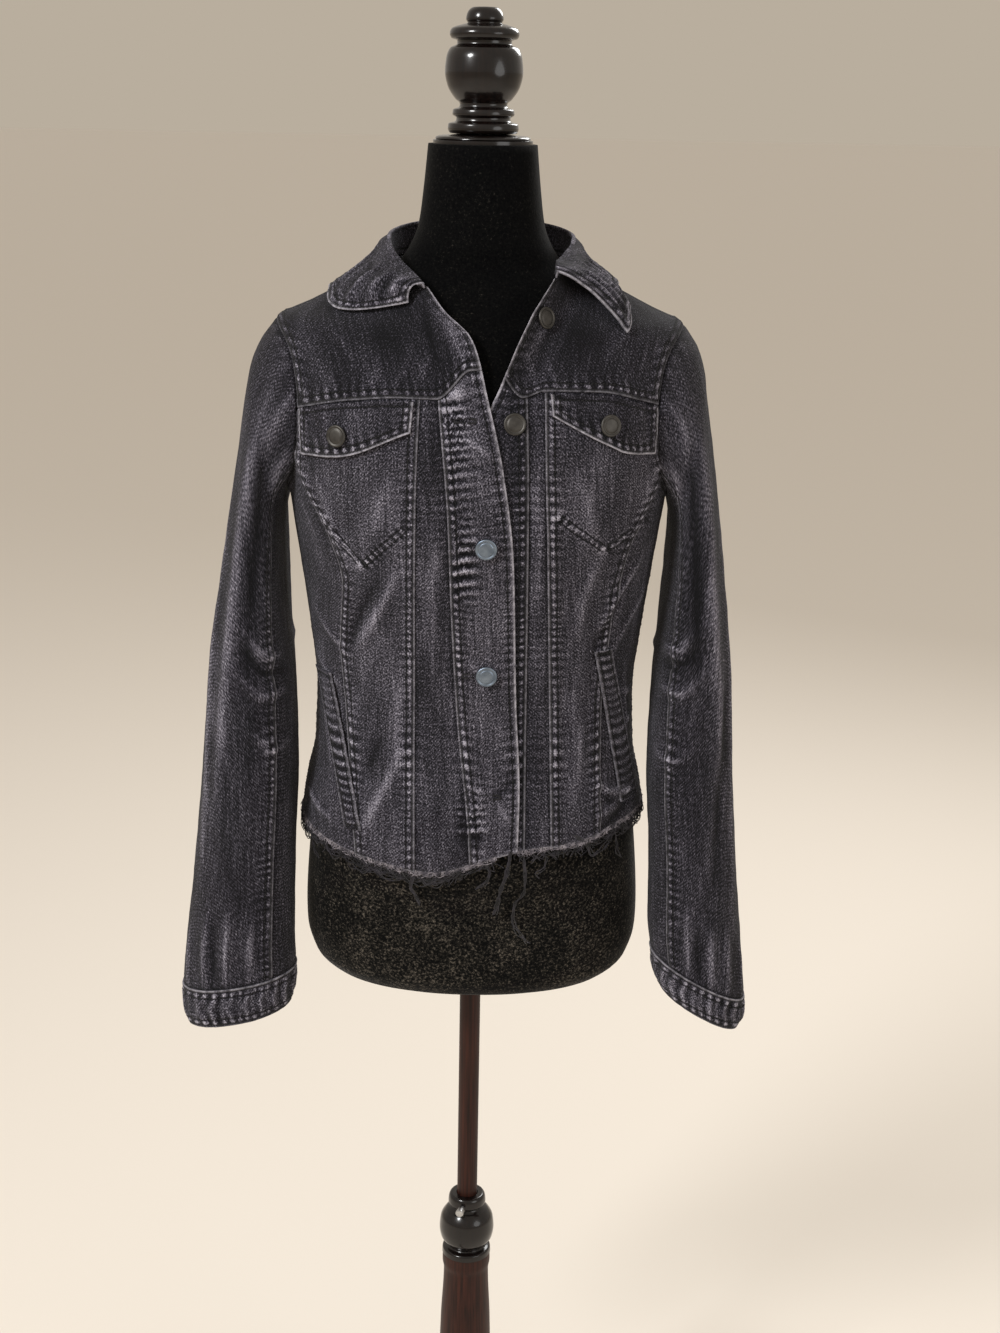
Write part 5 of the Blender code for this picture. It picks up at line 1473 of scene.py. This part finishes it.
front_seam, back_seam = SLEEVE_SEAMS
for side, word in SIDES:
    creases = creases_on(on_sleeve(side), SLEEVE_CREASES[side])
    for half, ends, edges, seed in (
        ("top", (back_seam - 360, front_seam), (FELLED, FELLED, UNDER, UNDER), 50),
        ("under", (front_seam, back_seam), (UNDER, UNDER, UNDER, UNDER), 53),
    ):
        panel(f"denim_sleeve_{half}_{word}", f"sleeve_{half}_{word}", sleeve_place(side, *ends, 0, 1), edges,
              creases, step=0.0032, extra=tuck, seed=seed + side, lumps=0.0004, wash=-0.06,
              seams=("z", "z", "z", "x"))
    panel(f"denim_cuff_{word}", f"cuff_{word}", cuff_place(side, 0.999), (TWICE, TWICE, CUFF_TOP, CUFF_END),
          cuff_puckers(side), wall=0.0019, step=0.0021, seed=56 + side,
          lumps=0.0005, extra=lambda s, t, base: 0.0009 * (1 - fade(t, 0.03, 0.10)) + 0.0003)

# ---------------------------------------------------------------- topstitching

for side, word in SIDES:
    runs = [run for part in ("yoke_front", "pocket_front", "side_front", "placket")
            for run in rows_of(f"denim_{part}_{word}")]
    for run in lines_of_v(side):
        x, z = np.array(run).T
        runs.append(list(zip(on_front(side, run, 0.0003), outward(side * facing(side * x, z), z))))
    sew(f"topstitch_front_{word}", runs)
    sew(f"topstitch_flap_{word}", rows_of(f"denim_flap_{word}") + rows_of(f"denim_welt_{word}"))
    sew(f"topstitch_sleeve_{word}", rows_of(f"denim_sleeve_top_{word}") + rows_of(f"denim_cuff_{word}"))
sew("topstitch_back", [run for name in ("yoke_back", "centre_back", "side_back_left", "side_back_right")
                       for run in rows_of(f"denim_{name}")])
sew("topstitch_collar", rows_of("denim_collar"))

# ---------------------------------------------------------------- buttons and buttonholes


def fine(profile, gap=0.0008):
    """A turned piece's profile with a smooth curve through its points."""
    points, _ = dense([(radius, 0.0, z) for radius, z in profile], gap)
    return [(max(float(p[0]), 0.0), float(p[2])) for p in points]


def spun(name, profile, finish, steps, node, body="form", matrix=None, bore=()):
    """A turned solid: the profile is (radius, height) from the top down, and a blind bore's goes outwards
    along its floor."""
    bm = bmesh.new()
    verts = [bm.verts.new((radius, 0, z)) for radius, z in [*profile, *bore]]
    runs = verts[: len(profile)], verts[len(profile) :]
    edges = [bm.edges.new(pair) for run in runs for pair in zip(run, run[1:])]
    if profile[0][0] > 0:
        edges.append(bm.edges.new((verts[-1], verts[0])))
    bmesh.ops.spin(bm, geom=verts + edges, cent=(0, 0, 0), axis=(0, 0, 1), angle=math.tau, steps=steps,
                   use_merge=True)
    bmesh.ops.remove_doubles(bm, verts=bm.verts, dist=1e-6)
    bmesh.ops.recalc_face_normals(bm, faces=bm.faces)
    if matrix:
        bmesh.ops.transform(bm, matrix=matrix, verts=bm.verts)
    made = add_piece(name, bm, finish, node, body)
    made.data.set_sharp_from_angle(angle=math.radians(40))
    return made


def spot(place, s, t):
    """A point of a piece's outer face and its normal."""

    def one(a, b, height=0.0):
        return place(np.array([a]), np.array([b]), np.array([height]))[0]

    base, above, d = one(s, t), one(s, t, 0.001), 0.01
    normal = unit(np.cross(one(s + d, t) - one(s - d, t), one(s, t + d) - one(s, t - d)))
    return base, normal * np.sign(normal @ (above - base))


BUTTON = [(0, 0.0045), (0.0030, 0.0044), (0.0058, 0.0041), (0.0067, 0.0035), (0.0073, 0.0034),
          (0.0079, 0.0039), (0.0086, 0.0041), (0.0094, 0.0037), (BUTTON_RADIUS, 0.0029), (0.0095, 0.0019),
          (0.0080, 0.0015), (0.0052, 0.0012), (0.0043, 0.0003), (0, 0.0003)]
HOLE_LENGTH = 0.019
HOLE_BEADS = 52
HOLE_BEAD = (0.00048, 0.00125, 0.00055)  # half a bead's length, width and height
HOLE_OFF = 0.0125  # how far a buttonhole's middle is from its button's


def tack_button(node, point, normal, finish):
    """A tack button's head: a shallow disc inside a rolled rim, on its neck."""
    turn = Vector((0, 0, 1)).rotation_difference(Vector(normal)).to_matrix().to_4x4()
    return spun(f"tack_{node}", fine(BUTTON, 0.0005), finish, 40, node,
                matrix=Matrix.Translation(Vector(point)) @ turn)


def buttonhole(name, point, normal, along):
    """A worked buttonhole: a slit in a raised ring of close stitches, with a bar at each end."""
    along = unit(along - normal * (along @ normal))
    side = np.cross(normal, along)
    bm = bmesh.new()
    for k in range(HOLE_BEADS):
        turn = math.tau * k / HOLE_BEADS
        c, s = math.cos(turn), math.sin(turn)
        x = math.copysign(abs(c) ** 0.55, c) * HOLE_LENGTH / 2
        y = math.copysign(abs(s) ** 0.8, s) * 0.0019
        bead(bm, point + along * x + side * y + normal * 0.0003, (along, side, normal), HOLE_BEAD)
    return add_piece(name, bm, TOPSTITCH)


LEVEL = np.array([1.0, 0, 0])
over = placed_front(-1, PATCHES[-1]["placket"])
under = placed_front(1, PATCHES[1]["placket"])
yoke = placed_front(1, PATCHES[1]["yoke"])
# The fastened buttons take the copy of the metal with painted sheen
for node, place, s, z, finish in (
    ("front_button_1", yoke, 0.075, 1.3590, BRONZE),
    ("front_button_2", under, 0.66, 1.2712, BRONZE),
    ("front_button_3", over, 0.42, 1.1627, GUNMETAL_PAINTED_SHEEN),
    ("front_button_4", over, 0.48, 1.0392, GUNMETAL_PAINTED_SHEEN),
):
    heights = np.linspace(0, 1, 401)
    levels = place(np.full(401, s), heights, np.zeros(401))[:, 2]
    t = float(heights[np.argmin(np.abs(levels - z))])
    point, normal = spot(place, s, t)
    tack_button(node, point + normal * SHANK, normal, finish)
    if finish is GUNMETAL_PAINTED_SHEEN:
        hole = on_front(-1, [(point[0] - HOLE_OFF, z)])[0]
        buttonhole(f"buttonhole_{node[-1]}", hole + normal * 0.0002, normal, LEVEL)
for name, x, z in (("buttonhole_5", 0.017, 0.9240), ("buttonhole_2", -0.010, 1.2740)):
    normal = outward(-float(facing(-x, z)), z)
    buttonhole(name, on_front(-1, [(x, z)])[0] + normal * 0.0002, normal, LEVEL)

for side, word in SIDES:
    flap = flap_place(side, PATCHES[side]["pocket"])
    along, up = {-1: (0.62, 0.40), 1: (0.52, 0.42)}[side]
    point, normal = spot(flap, along, up)
    tack_button(f"flap_button_{word}", point + normal * 0.0012, normal, BRONZE)
    point, normal = spot(cuff_place(side, 1.0), 1 - 0.5 * CUFF_SHARE, 0.5)
    tack_button(f"cuff_button_{word}", point + normal * 0.0006, normal, BRONZE)

# ---------------------------------------------------------------- the frayed hem


def hem_point(way, drop, off):
    """A point below the hem, at a direction, a drop and a distance off the body surface."""
    z = float(level("hem", (way + 180) % 360 - 180)) - drop
    return body(way, z) + outward(way, z) * off


def strands(name, runs, radius, finish, node=None):
    """Threads as fine tubes along their runs of points."""
    curve = bpy.data.curves.new(name, "CURVE")
    curve.dimensions = "3D"
    curve.bevel_depth = radius
    curve.bevel_resolution = 0
    curve.use_fill_caps = True
    for run in runs:
        spline = curve.splines.new("POLY")
        spline.points.add(len(run) - 1)
        for point, at in zip(spline.points, run):
            point.co = (*at, 1.0)
    drawn = bpy.data.objects.new(name, curve)
    bpy.context.scene.collection.objects.link(drawn)
    bpy.context.view_layer.update()
    evaluated = drawn.evaluated_get(bpy.context.evaluated_depsgraph_get())
    bm = bmesh.new()
    bm.from_mesh(evaluated.to_mesh())
    evaluated.to_mesh_clear()
    bpy.data.objects.remove(drawn)
    add_piece(name, bm, finish, node)


def frayed(count, reaches, lean, off, kick, seed):
    """Short threads that hang from the raw edge, each with its own length, lean and curl."""
    chance, runs = random.Random(seed), []
    for k in range(count):
        way = 20.0 + 351.0 * (k + chance.random()) / count
        reach = chance.choice(reaches) * chance.uniform(0.6, 1.2)
        slant, curl, start = chance.gauss(0, lean), chance.gauss(0, 1.6), chance.uniform(*off)
        out = abs(chance.gauss(0, kick))
        runs.append([hem_point(way + slant * u * reach / 0.01 * 0.9 + curl * math.sin(u * 3.1) * 0.5,
                               -0.0022 + reach * u * (1 - 0.12 * u), start + out * u)
                     for u in np.linspace(0, 1, 6)])
    return runs


def matted(count, ways, length, deep, seed):
    """Strands caught along the hem, that loop down and up again."""
    chance, runs = random.Random(seed), []
    for k in range(count):
        start, reach = chance.uniform(*ways), chance.uniform(*length)
        low, waves, out = chance.uniform(*deep), chance.uniform(1, 4), chance.uniform(-0.0006, 0.0014)
        runs.append([])
        for u in np.linspace(0, 1, 13):
            drop = low * math.sin(u * math.pi) ** 0.7 + 0.0012 * math.sin(u * math.pi * waves + k)
            runs[-1].append(hem_point(min(start + reach * u, 371), drop, out + 0.0009 * math.sin(11 * u + k)))
    return runs


strands("hem_fray", frayed(1500, (0.0035, 0.0045, 0.0060), 2.4, (-0.0008, 0.0006), 0.0012, 29), 0.00028,
        FRAYED, "hem_fringe")
strands("hem_edge_weft", matted(170, (20, 366), (4, 12), (-0.0006, 0.0022), 31), 0.00034, FRAYED)
dark = frayed(900, (0.006, 0.009, 0.012, 0.015), 3.0, (-0.0016, 0.0000), 0.0014, 37)
dark += matted(150, (20, 362), (4, 14), (0.003, 0.008), 41)
# Thicker mats low on the wearer's right side, at the side seam, and at the lifted corner on the left
for ways, low, seed in (((284, 344), 0.012, 43), ((298, 340), 0.016, 47), ((56, 84), 0.014, 53),
                        ((262, 286), 0.017, 59)):
    dark += matted(22, ways, (6, 16), (0.5 * low, low), seed)
strands("hem_weft", dark, 0.00040, LOOSE)

# The long loose threads: each run is (x, z), with how many strands cling together
LONG = [
    (8, [(-0.052, 0.860), (-0.053, 0.846), (-0.055, 0.834), (-0.050, 0.824), (-0.047, 0.815)]),
    (4, [(0.014, 0.864), (0.019, 0.852), (0.013, 0.842), (0.006, 0.836)]),
    (9, [(0.037, 0.872), (0.034, 0.852), (0.029, 0.836), (0.027, 0.822), (0.023, 0.806)]),
    (4, [(0.049, 0.874), (0.051, 0.850), (0.050, 0.832), (0.042, 0.815), (0.040, 0.800), (0.046, 0.785),
         (0.056, 0.772)]),
    (2, [(0.060, 0.872), (0.071, 0.866), (0.068, 0.857), (0.060, 0.850), (0.064, 0.846)]),
    (5, [(0.096, 0.884), (0.108, 0.874), (0.114, 0.862), (0.126, 0.868), (0.134, 0.878)]),
    (2, [(0.129, 0.886), (0.136, 0.872), (0.139, 0.858), (0.142, 0.848)]),
    (2, [(-0.146, 0.872), (-0.151, 0.860), (-0.150, 0.848), (-0.144, 0.842)]),
    (3, [(-0.108, 0.862), (-0.098, 0.852), (-0.082, 0.846), (-0.068, 0.850)]),
]
chance = random.Random(61)
long_runs = []
for count, run in LONG:
    for k in range(count):
        shift = [(x + chance.gauss(0, 0.0010), z + chance.gauss(0, 0.0012)) for x, z in run]
        points = np.array([body(facing(x, z), z) + outward(facing(x, z), z) * 0.0009 for x, z in shift])
        smooth, _ = dense(points, 0.0030)
        long_runs.append([p + 0.0004 * math.sin(i * 1.9 + k) * LEVEL for i, p in enumerate(smooth)])
strands("hem_long_threads", long_runs, 0.00048, LOOSE)

# ---------------------------------------------------------------- the dress form


def form_cover():
    """The velvet cover: the form's own rings, closely spaced, with its side and back seams pulled in."""
    heights = [s.z for s in SECTIONS[:5]] + list(np.linspace(0.83, 1.29, 13)) + [s.z for s in SECTIONS[14:]]
    rises = [np.linspace(a, b, 7)[:-1] for a, b in zip(heights, heights[1:])]
    levels = np.concatenate([*rises, [heights[-1]]])
    m, n = 120, len(levels) - 1
    bm = bmesh.new()
    bmesh.ops.create_grid(bm, x_segments=m, y_segments=n, size=0.5)
    for vert in bm.verts:
        way, z = 360 * (vert.co.x + 0.5), levels[round((vert.co.y + 0.5) * n)]
        vert.co = (way, z, 0)
    ways = np.array([v.co.x for v in bm.verts])
    z = np.array([v.co.y for v in bm.verts])
    ease = section_at(z)[..., 4]
    seam = sum(np.exp(-(((ways - at + 180) % 360 - 180) / 0.9) ** 2) for at in (90, 180, 270))
    points = body(ways, z) - outward(ways, z) * (CLOTH + ease + 0.0006 * seam)[:, None]
    for end, at_end in ((heights[0], z < heights[0] + 1e-6), (heights[-1], z > heights[-1] - 1e-6)):
        points[at_end, 2] = end
    for vert, point in zip(bm.verts, points):
        vert.co = point
    bmesh.ops.remove_doubles(bm, verts=bm.verts, dist=1e-5)
    rims = [e for e in bm.edges if e.is_boundary]
    bmesh.ops.holes_fill(bm, edges=rims, sides=0)
    caps = [f for f in bm.faces if len(f.verts) > 4]
    bmesh.ops.inset_region(bm, faces=caps, thickness=0.0030, depth=0.0, use_even_offset=True)
    bmesh.ops.recalc_face_normals(bm, faces=bm.faces)
    return add_piece("velvet_form", bm, VELVET, "form_torso")


form_cover()

REST_TOP = SECTIONS[-1].z + REST
PLATE = [(0, 0.0085), (0.020, 0.0085), (0.0300, 0.0075), (0.0355, 0.0072), (0.0395, 0.0066), (0.0420, 0.0055),
         (0.0425, 0.0042), (0.0415, 0.0036), (0.0445, 0.0030), (0.0445, 0.0), (0, 0)]
spun("lacquered_neck_plate", fine([(r, REST_TOP + z) for r, z in PLATE]), LACQUERED, 72, "neck_plate")
KNOB = REST_TOP + PLATE[0][1] + REST
FINIAL = [(0, 0.1065), (0.010, 0.1060), (0.0150, 0.1020), (0.0165, 0.0960), (0.0150, 0.0930),
          (0.0200, 0.0915), (0.0290, 0.0880), (0.0306, 0.0840), (0.0290, 0.0800), (0.0240, 0.0780),
          (0.0240, 0.0755), (0.0300, 0.0720), (0.0334, 0.0640), (0.0345, 0.0520), (0.0320, 0.0400),
          (0.0250, 0.0290), (0.0210, 0.0250), (0.0215, 0.0225), (0.0270, 0.0200), (0.0275, 0.0160),
          (0.0240, 0.0130), (0.0245, 0.0105), (0.0310, 0.0080), (0.0315, 0.0040), (0.0290, 0.0), (0, 0)]
spun("lacquered_finial", fine([(r, KNOB + z) for r, z in FINIAL], 0.0011), LACQUERED, 80, "finial")

# ---------------------------------------------------------------- pole and stand

POLE_TOP = SECTIONS[0].z - REST
spun("stained_pole", [(0, POLE_TOP), (POLE_RADIUS, POLE_TOP), (POLE_RADIUS, POLE_BOTTOM), (0, POLE_BOTTOM)],
     STAINED, 48, "pole")
COLLAR_RING = [(BORE_RADIUS, 0), (0.0165, 0), (0.0190, -0.004), (0.0195, -0.010), (0.0165, -0.014),
               (0.0220, -0.019), (0.0272, -0.028), (0.0285, -0.040), (0.0270, -0.050), (0.0215, -0.058),
               (0.0195, -0.061), (0.0250, -0.064), (0.0255, -COLLAR_TALL), (BORE_RADIUS, -COLLAR_TALL)]
spun("lacquered_stand_collar", fine([(r, KNOB_TOP + z) for r, z in COLLAR_RING], 0.0013), LACQUERED, 64,
     "stand_collar", "stand")
TOP = KNOB_TOP - COLLAR_TALL - REST
COLUMN = [(BORE_RADIUS, TOP), (0.0245, TOP), (0.0250, TOP - 0.010), (0.0235, TOP - 0.020),
          (0.0262, TOP - 0.080), (0.0275, TOP - 0.140), (0.0265, 0.205), (0.0215, 0.190), (0.0255, 0.184),
          (0.0255, 0.178), (0.0290, 0.170), (0.0290, 0.100), (0.0230, 0.094), (0.0120, COLUMN_FOOT),
          (0.0, COLUMN_FOOT)]
spun("stained_column", fine(COLUMN, 0.0020), STAINED, 64, "stand_column", "stand",
     bore=((0.0, BORE_FLOOR), (BORE_RADIUS, BORE_FLOOR)))

Leg = namedtuple("Leg", "out z tall wide")
LEG = [
    Leg(0.0293, 0.1300, 0.0260, 0.0110),
    Leg(0.0550, 0.1320, 0.0250, 0.0110),
    Leg(0.0900, 0.1270, 0.0210, 0.0110),
    Leg(0.1300, 0.1090, 0.0170, 0.0105),
    Leg(0.1700, 0.0800, 0.0150, 0.0100),
    Leg(0.2050, 0.0480, 0.0135, 0.0100),
    Leg(0.2350, 0.0275, 0.0125, 0.0100),
    Leg(0.2600, 0.0215, 0.0125, 0.0105),
    Leg(0.2780, 0.0205, 0.0125, 0.0110),
    Leg(LEG_REACH, 0.0200, 0.0090, 0.0080),
]
LEG_WAYS = (0.0, 120.0, 240.0)


def stand_leg(number, way):
    """A scrolled leg: a loft through close oval sections along its bent middle line."""
    turn = math.radians(way)
    ahead = np.array([math.cos(turn), math.sin(turn), 0])
    aside = np.array([-math.sin(turn), math.cos(turn), 0])
    rows = np.array(LEG)
    slope = np.gradient(rows[:, 1], rows[:, 0])
    slope[0] = slope[-1] = 0
    at = through(np.column_stack([rows[:, 0], rows[:, 1:], slope]))
    outs = np.linspace(rows[0, 0], rows[-1, 0], 46)
    count = 32
    bm = bmesh.new()
    bmesh.ops.create_grid(bm, x_segments=count, y_segments=len(outs) - 1, size=0.5)
    for vert in bm.verts:
        angle = math.tau * (vert.co.x + 0.5)
        out = outs[round((vert.co.y + 0.5) * (len(outs) - 1))]
        z, tall, wide, lean = at(out)
        up = unit(np.array([0, 0, 1.0]) - ahead * lean * 0.9)
        c, s = math.cos(angle), math.sin(angle)
        c, s = math.copysign(abs(c) ** 0.7, c), math.copysign(abs(s) ** 0.7, s)
        vert.co = ahead * out + np.array([0, 0, z]) + up * tall * s + aside * wide * c
    bmesh.ops.remove_doubles(bm, verts=bm.verts, dist=1e-6)
    bmesh.ops.holes_fill(bm, edges=[e for e in bm.edges if e.is_boundary], sides=0)
    caps = [e for e in bm.edges if any(len(f.verts) > 4 for f in e.link_faces)]
    bmesh.ops.bevel(bm, geom=caps, offset=0.0014, affect="EDGES", segments=3, profile=0.5, material=-1)
    bmesh.ops.recalc_face_normals(bm, faces=bm.faces)
    made = add_piece(f"stained_leg_{number}", bm, STAINED, f"stand_leg_{number}", "stand")
    made.data.set_sharp_from_angle(angle=math.radians(40))


for number, way in enumerate(LEG_WAYS, 1):
    stand_leg(number, way)

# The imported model's own foot pads and set screw are shown, in their finishes
for node, finish in (("foot_pad_1", RUBBER), ("foot_pad_2", RUBBER), ("foot_pad_3", RUBBER),
                     ("set_screw", SCREW)):
    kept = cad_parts[node].data.materials
    kept.clear()
    kept.append(finish)

# ---------------------------------------------------------------- floor, light and camera

bm = bmesh.new()
bmesh.ops.create_grid(bm, x_segments=1, y_segments=1, size=60.0)
mesh = bpy.data.meshes.new("floor")
bm.to_mesh(mesh)
bm.free()
floor = bpy.data.objects.new("floor", mesh)
bpy.context.scene.collection.objects.link(floor)
pale, tree, shader = new_material("pale_floor", Roughness=0.95, Specular_IOR_Level=0.1)
shader.inputs["Base Color"].default_value = colour("#e4ddd3")
mesh.materials.append(pale)

world = bpy.data.worlds.new("studio")
bpy.context.scene.world = world
world.use_nodes = True
# The camera sees the far floor's shade past its edge, so there's no hard horizon
tree = world.node_tree
seen = add_node(tree, "ShaderNodeLightPath").outputs["Is Camera Ray"]
lit = add_node(tree, "ShaderNodeBackground", {"Color": colour("#efe6da"), "Strength": 0.72})
plain = add_node(tree, "ShaderNodeBackground", {"Color": colour("#b9ae9e")})
both = add_node(tree, "ShaderNodeMixShader", {0: seen, 1: lit, 2: plain})
tree.links.new(both.outputs[0], tree.nodes["World Output"].inputs["Surface"])


def softbox(name, at, target, size, watts):
    light = bpy.data.lights.new(name, "AREA")
    light.shape, light.size, light.energy = "DISK", size, watts
    made = bpy.data.objects.new(name, light)
    made.location = at
    made.rotation_euler = (Vector(target) - Vector(at)).to_track_quat("-Z", "Y").to_euler()
    bpy.context.scene.collection.objects.link(made)


# Where each light is, what it points at, its width and its power
softbox("key", (-1.9, -1.9, 2.9), (0, 0, 1.1), 0.8, 78)
softbox("fill", (2.2, -2.0, 1.5), (0, 0, 1.0), 1.6, 16)
softbox("rim", (1.2, 2.2, 2.6), (0, 0, 1.2), 1.2, 40)

camera_data = bpy.data.cameras.new("camera")
camera_data.lens = 36 * 1900 / 1333
camera_data.sensor_width = 36
camera = bpy.data.objects.new("camera", camera_data)
pitch, roll = math.radians(17), math.radians(1.1)
forward = Vector((0, math.cos(pitch), -math.sin(pitch)))
upright = Vector((0, math.sin(pitch), math.cos(pitch)))
right = Vector((1, 0, 0))
turned_right = right * math.cos(roll) + upright * math.sin(roll)
turned_up = upright * math.cos(roll) - right * math.sin(roll)
camera.matrix_world = Matrix.Translation((0.024, -1.75, 1.55)) @ Matrix(
    (turned_right, turned_up, -forward)).transposed().to_4x4()
bpy.context.scene.collection.objects.link(camera)
bpy.context.scene.camera = camera
bpy.context.scene.view_settings.view_transform = "Standard"
